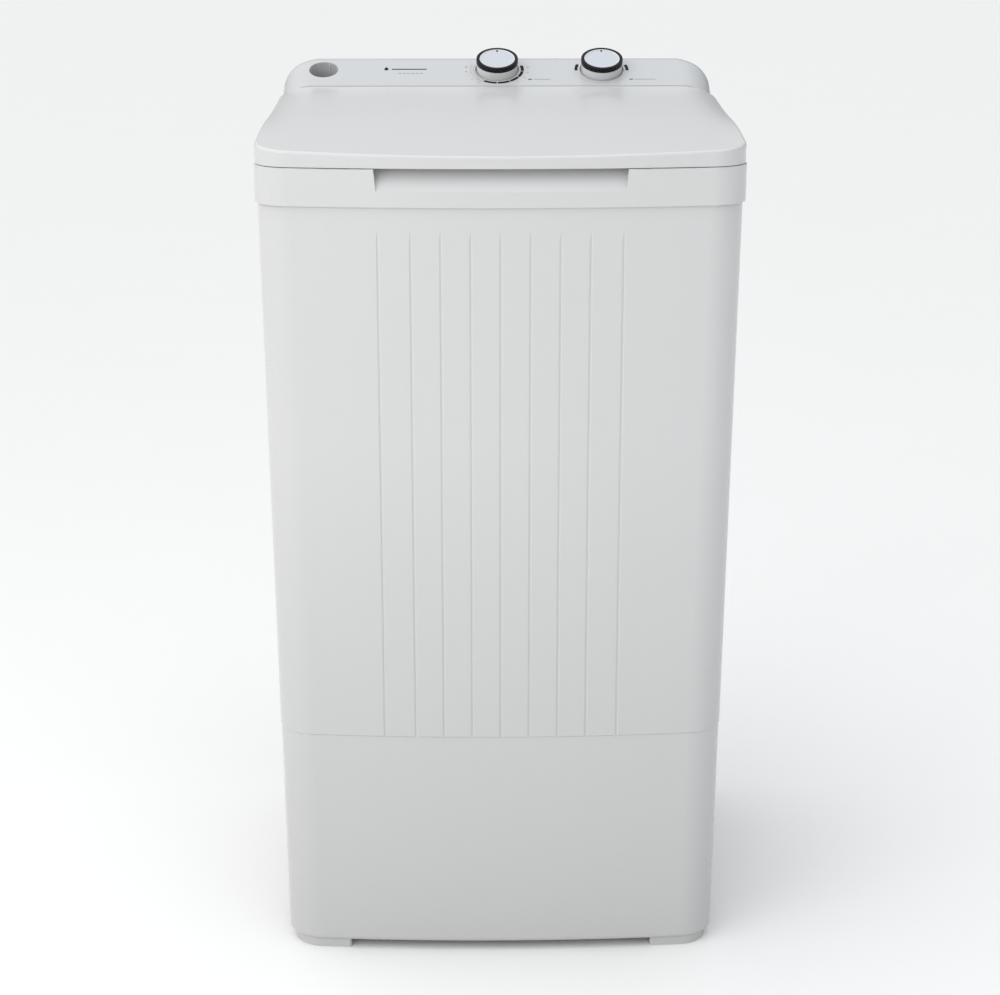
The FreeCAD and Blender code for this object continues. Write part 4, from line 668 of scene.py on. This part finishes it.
def ribSocket():
    deselectAll()
    bpy.ops.mesh.primitive_cube_add(size=1, location=(0, 0, 0))
    first = startPiece("socketRib")
    size = (socketRibs["wide"], socketRibs["deep"], socketRibs["long"])
    bpy.ops.transform.resize(value=size)
    settle(first)
    pickEdges(first, lambda spot: spot.y < 0)
    bpy.ops.mesh.bevel(offset=socketRibs["edge"], segments=3)
    leaveEdit()
    out = socketRibs["radius"] - socketRibs["deep"] / 2 + socketRibs["sunk"]
    down = socketRibs["long"] / 2 + socketRibs["below"]
    ribs = [first] + [copyPiece(first) for n in range(1, socketRibs["count"])]
    for n, rib in enumerate(ribs):
        turn = math.radians(socketRibs["firstDeg"] + 360.0 / socketRibs["count"] * n)
        settle(rib, Matrix.Rotation(turn, 4, "Z") @ Matrix.Translation((0, out, -down)))
    whole = joinAll(ribs, "fillSocketRibs")
    settle(whole, slopeAt(socketRibs["x"], 0))
    dress(whole, looks["white_shell"])
    softEdges(whole)
    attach(whole, "machine")


ribSocket()
print("fill socket ribbed")


# the drain's rubber bellows and its cord, the lift joint's deforming nodes: a smooth-shaded copy
# of each takes the place of the frame node

drainLift = jointNamed("drain_lift")


def shortenWithLift(nodeName):
    deselectAll()
    soft = copyPiece(nodes[nodeName])
    soft.parent = None
    soft.matrix_world = Matrix.Identity(4)
    soft.name = nodeName.title().replace("_", "") + "Soft"
    soft.data.name = soft.name
    mergeDoubles(soft, 0.000001)
    softEdges(soft)
    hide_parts(nodeName)
    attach(soft, "machine")
    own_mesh(soft)


for entry in drainLift["deforming_nodes"]:
    shortenWithLift(entry["node"])


# floor, lights and camera

studio = {
    "floorSize": 120,
    "floorBack": 30,          # its middle lies this far behind
    "floor": (0.90, 0.894, 0.885),
    "floorDrift": 0.006,
    "skyMiddle": 0.34,
    "skyAcross": -0.33,       # brighter to the left
    "skyFront": -0.08,        # and towards the front
    "skyUp": 1.05,
    "skyWarm": (1.0, 0.995, 0.965),
    "skyCool": (0.925, 0.96, 1.0),
    "coolAcross": 0.4,
    "coolUp": 0.9,
}

softBoxes = {  # a key, two tall strips beside the camera and one box overhead
    "keyBox": {"spot": (-1.35, -1.7, 1.6), "aim": (0, -0.1, 0.75), "wide": 1.3, "tall": 1.6,
               "radiance": 1.7, "tint": (1.0, 0.997, 0.98)},
    "leftStrip": {"spot": (-0.95, -3.6, 1.5), "aim": (0, 0, 0.65), "wide": 0.5, "tall": 2.2,
                  "radiance": 1.5, "tint": (1.0, 1.0, 0.99)},
    "rightStrip": {"spot": (1.55, -3.1, 1.5), "aim": (0, 0, 0.65), "wide": 0.6, "tall": 2.2,
                   "radiance": 1.1, "tint": (0.93, 0.96, 1.0)},
    "overheadBox": {"spot": (-0.15, -0.35, 2.6), "aim": (0, 0, 0.9), "wide": 1.5, "tall": 1.2,
                    "radiance": 0.85, "tint": (0.86, 0.93, 1.0)},
}


def layFloor():
    deselectAll()
    bpy.ops.mesh.primitive_plane_add(size=studio["floorSize"],
                                     location=(0, studio["floorBack"], 0))
    floor = startPiece("studioFloor")
    settle(floor)
    pale = studio["floor"]
    darker = tuple(c - studio["floorDrift"] for c in pale)
    dress(floor, plainMix("paleFloor", darker, pale, (0.66, 0.7), 3.0, bump=0.0))


def hangSoftBox(name, box):
    deselectAll()
    bpy.ops.object.light_add(type="AREA", location=box["spot"])
    lamp = bpy.context.object
    lamp.name = name
    lamp.data.shape = "RECTANGLE"
    lamp.data.size = box["wide"]
    lamp.data.size_y = box["tall"]
    lamp.data.energy = box["radiance"] * math.pi * box["wide"] * box["tall"]
    lamp.data.color = box["tint"]
    toward = Vector(box["aim"]) - Vector(box["spot"])
    lamp.rotation_euler = toward.to_track_quat("-Z", "Y").to_euler()


def mathNode(tree, operation, a, b):
    node = tree.nodes.new("ShaderNodeMath")
    node.operation = operation
    for socket, value in zip(node.inputs, (a, b)):
        if isinstance(value, (int, float)):
            socket.default_value = value
        else:
            tree.links.new(value, socket)
    return node.outputs[0]


def hangSky():
    world = bpy.data.worlds.new("studioWorld")
    world.use_nodes = True
    tree = world.node_tree
    sky = tree.nodes["Background"]
    place = tree.nodes.new("ShaderNodeTexCoord")
    split = tree.nodes.new("ShaderNodeSeparateXYZ")
    tree.links.new(place.outputs["Generated"], split.inputs[0])
    x, y, z = (split.outputs[axis] for axis in "XYZ")
    across = mathNode(tree, "MULTIPLY", x, studio["skyAcross"])
    upward = mathNode(tree, "MULTIPLY", mathNode(tree, "MAXIMUM", z, 0.0), studio["skyUp"])
    onward = mathNode(tree, "MULTIPLY", y, studio["skyFront"])
    level = mathNode(tree, "ADD", onward, studio["skyMiddle"])
    total = mathNode(tree, "ADD", mathNode(tree, "ADD", across, upward), level)
    tree.links.new(total, sky.inputs["Strength"])
    coolSide = mathNode(tree, "MULTIPLY", x, studio["coolAcross"])
    coolTop = mathNode(tree, "MULTIPLY", z, studio["coolUp"])
    cool = mathNode(tree, "ADD", coolSide, coolTop)
    tint = twoTones(tree, cool, studio["skyWarm"], studio["skyCool"])
    tree.links.new(tint, sky.inputs["Color"])
    bpy.context.scene.world = world


def lightStudio():
    for name, box in softBoxes.items():
        hangSoftBox(name, box)
    hangSky()
    bpy.context.scene.view_settings.view_transform = "Standard"
    bpy.context.scene.view_settings.look = "None"


viewpoint = {"x": -0.026, "distance": 2.3343, "height": 1.2391, "down": 16.5, "turn": 0.61,
             "lens": 81.56, "sensor": 36.0}


def placeCamera():
    deselectAll()
    front = cadBox[0].y
    spot = (viewpoint["x"], front - viewpoint["distance"], viewpoint["height"])
    bpy.ops.object.camera_add(location=spot)
    camera = bpy.context.object
    camera.name = "mainCamera"
    tilt = math.radians(90 - viewpoint["down"])
    camera.rotation_euler = (tilt, 0, -math.radians(viewpoint["turn"]))
    camera.data.sensor_width = viewpoint["sensor"]
    camera.data.lens = viewpoint["lens"]
    bpy.context.scene.camera = camera


layFloor()
lightStudio()
placeCamera()
print("studio ready")
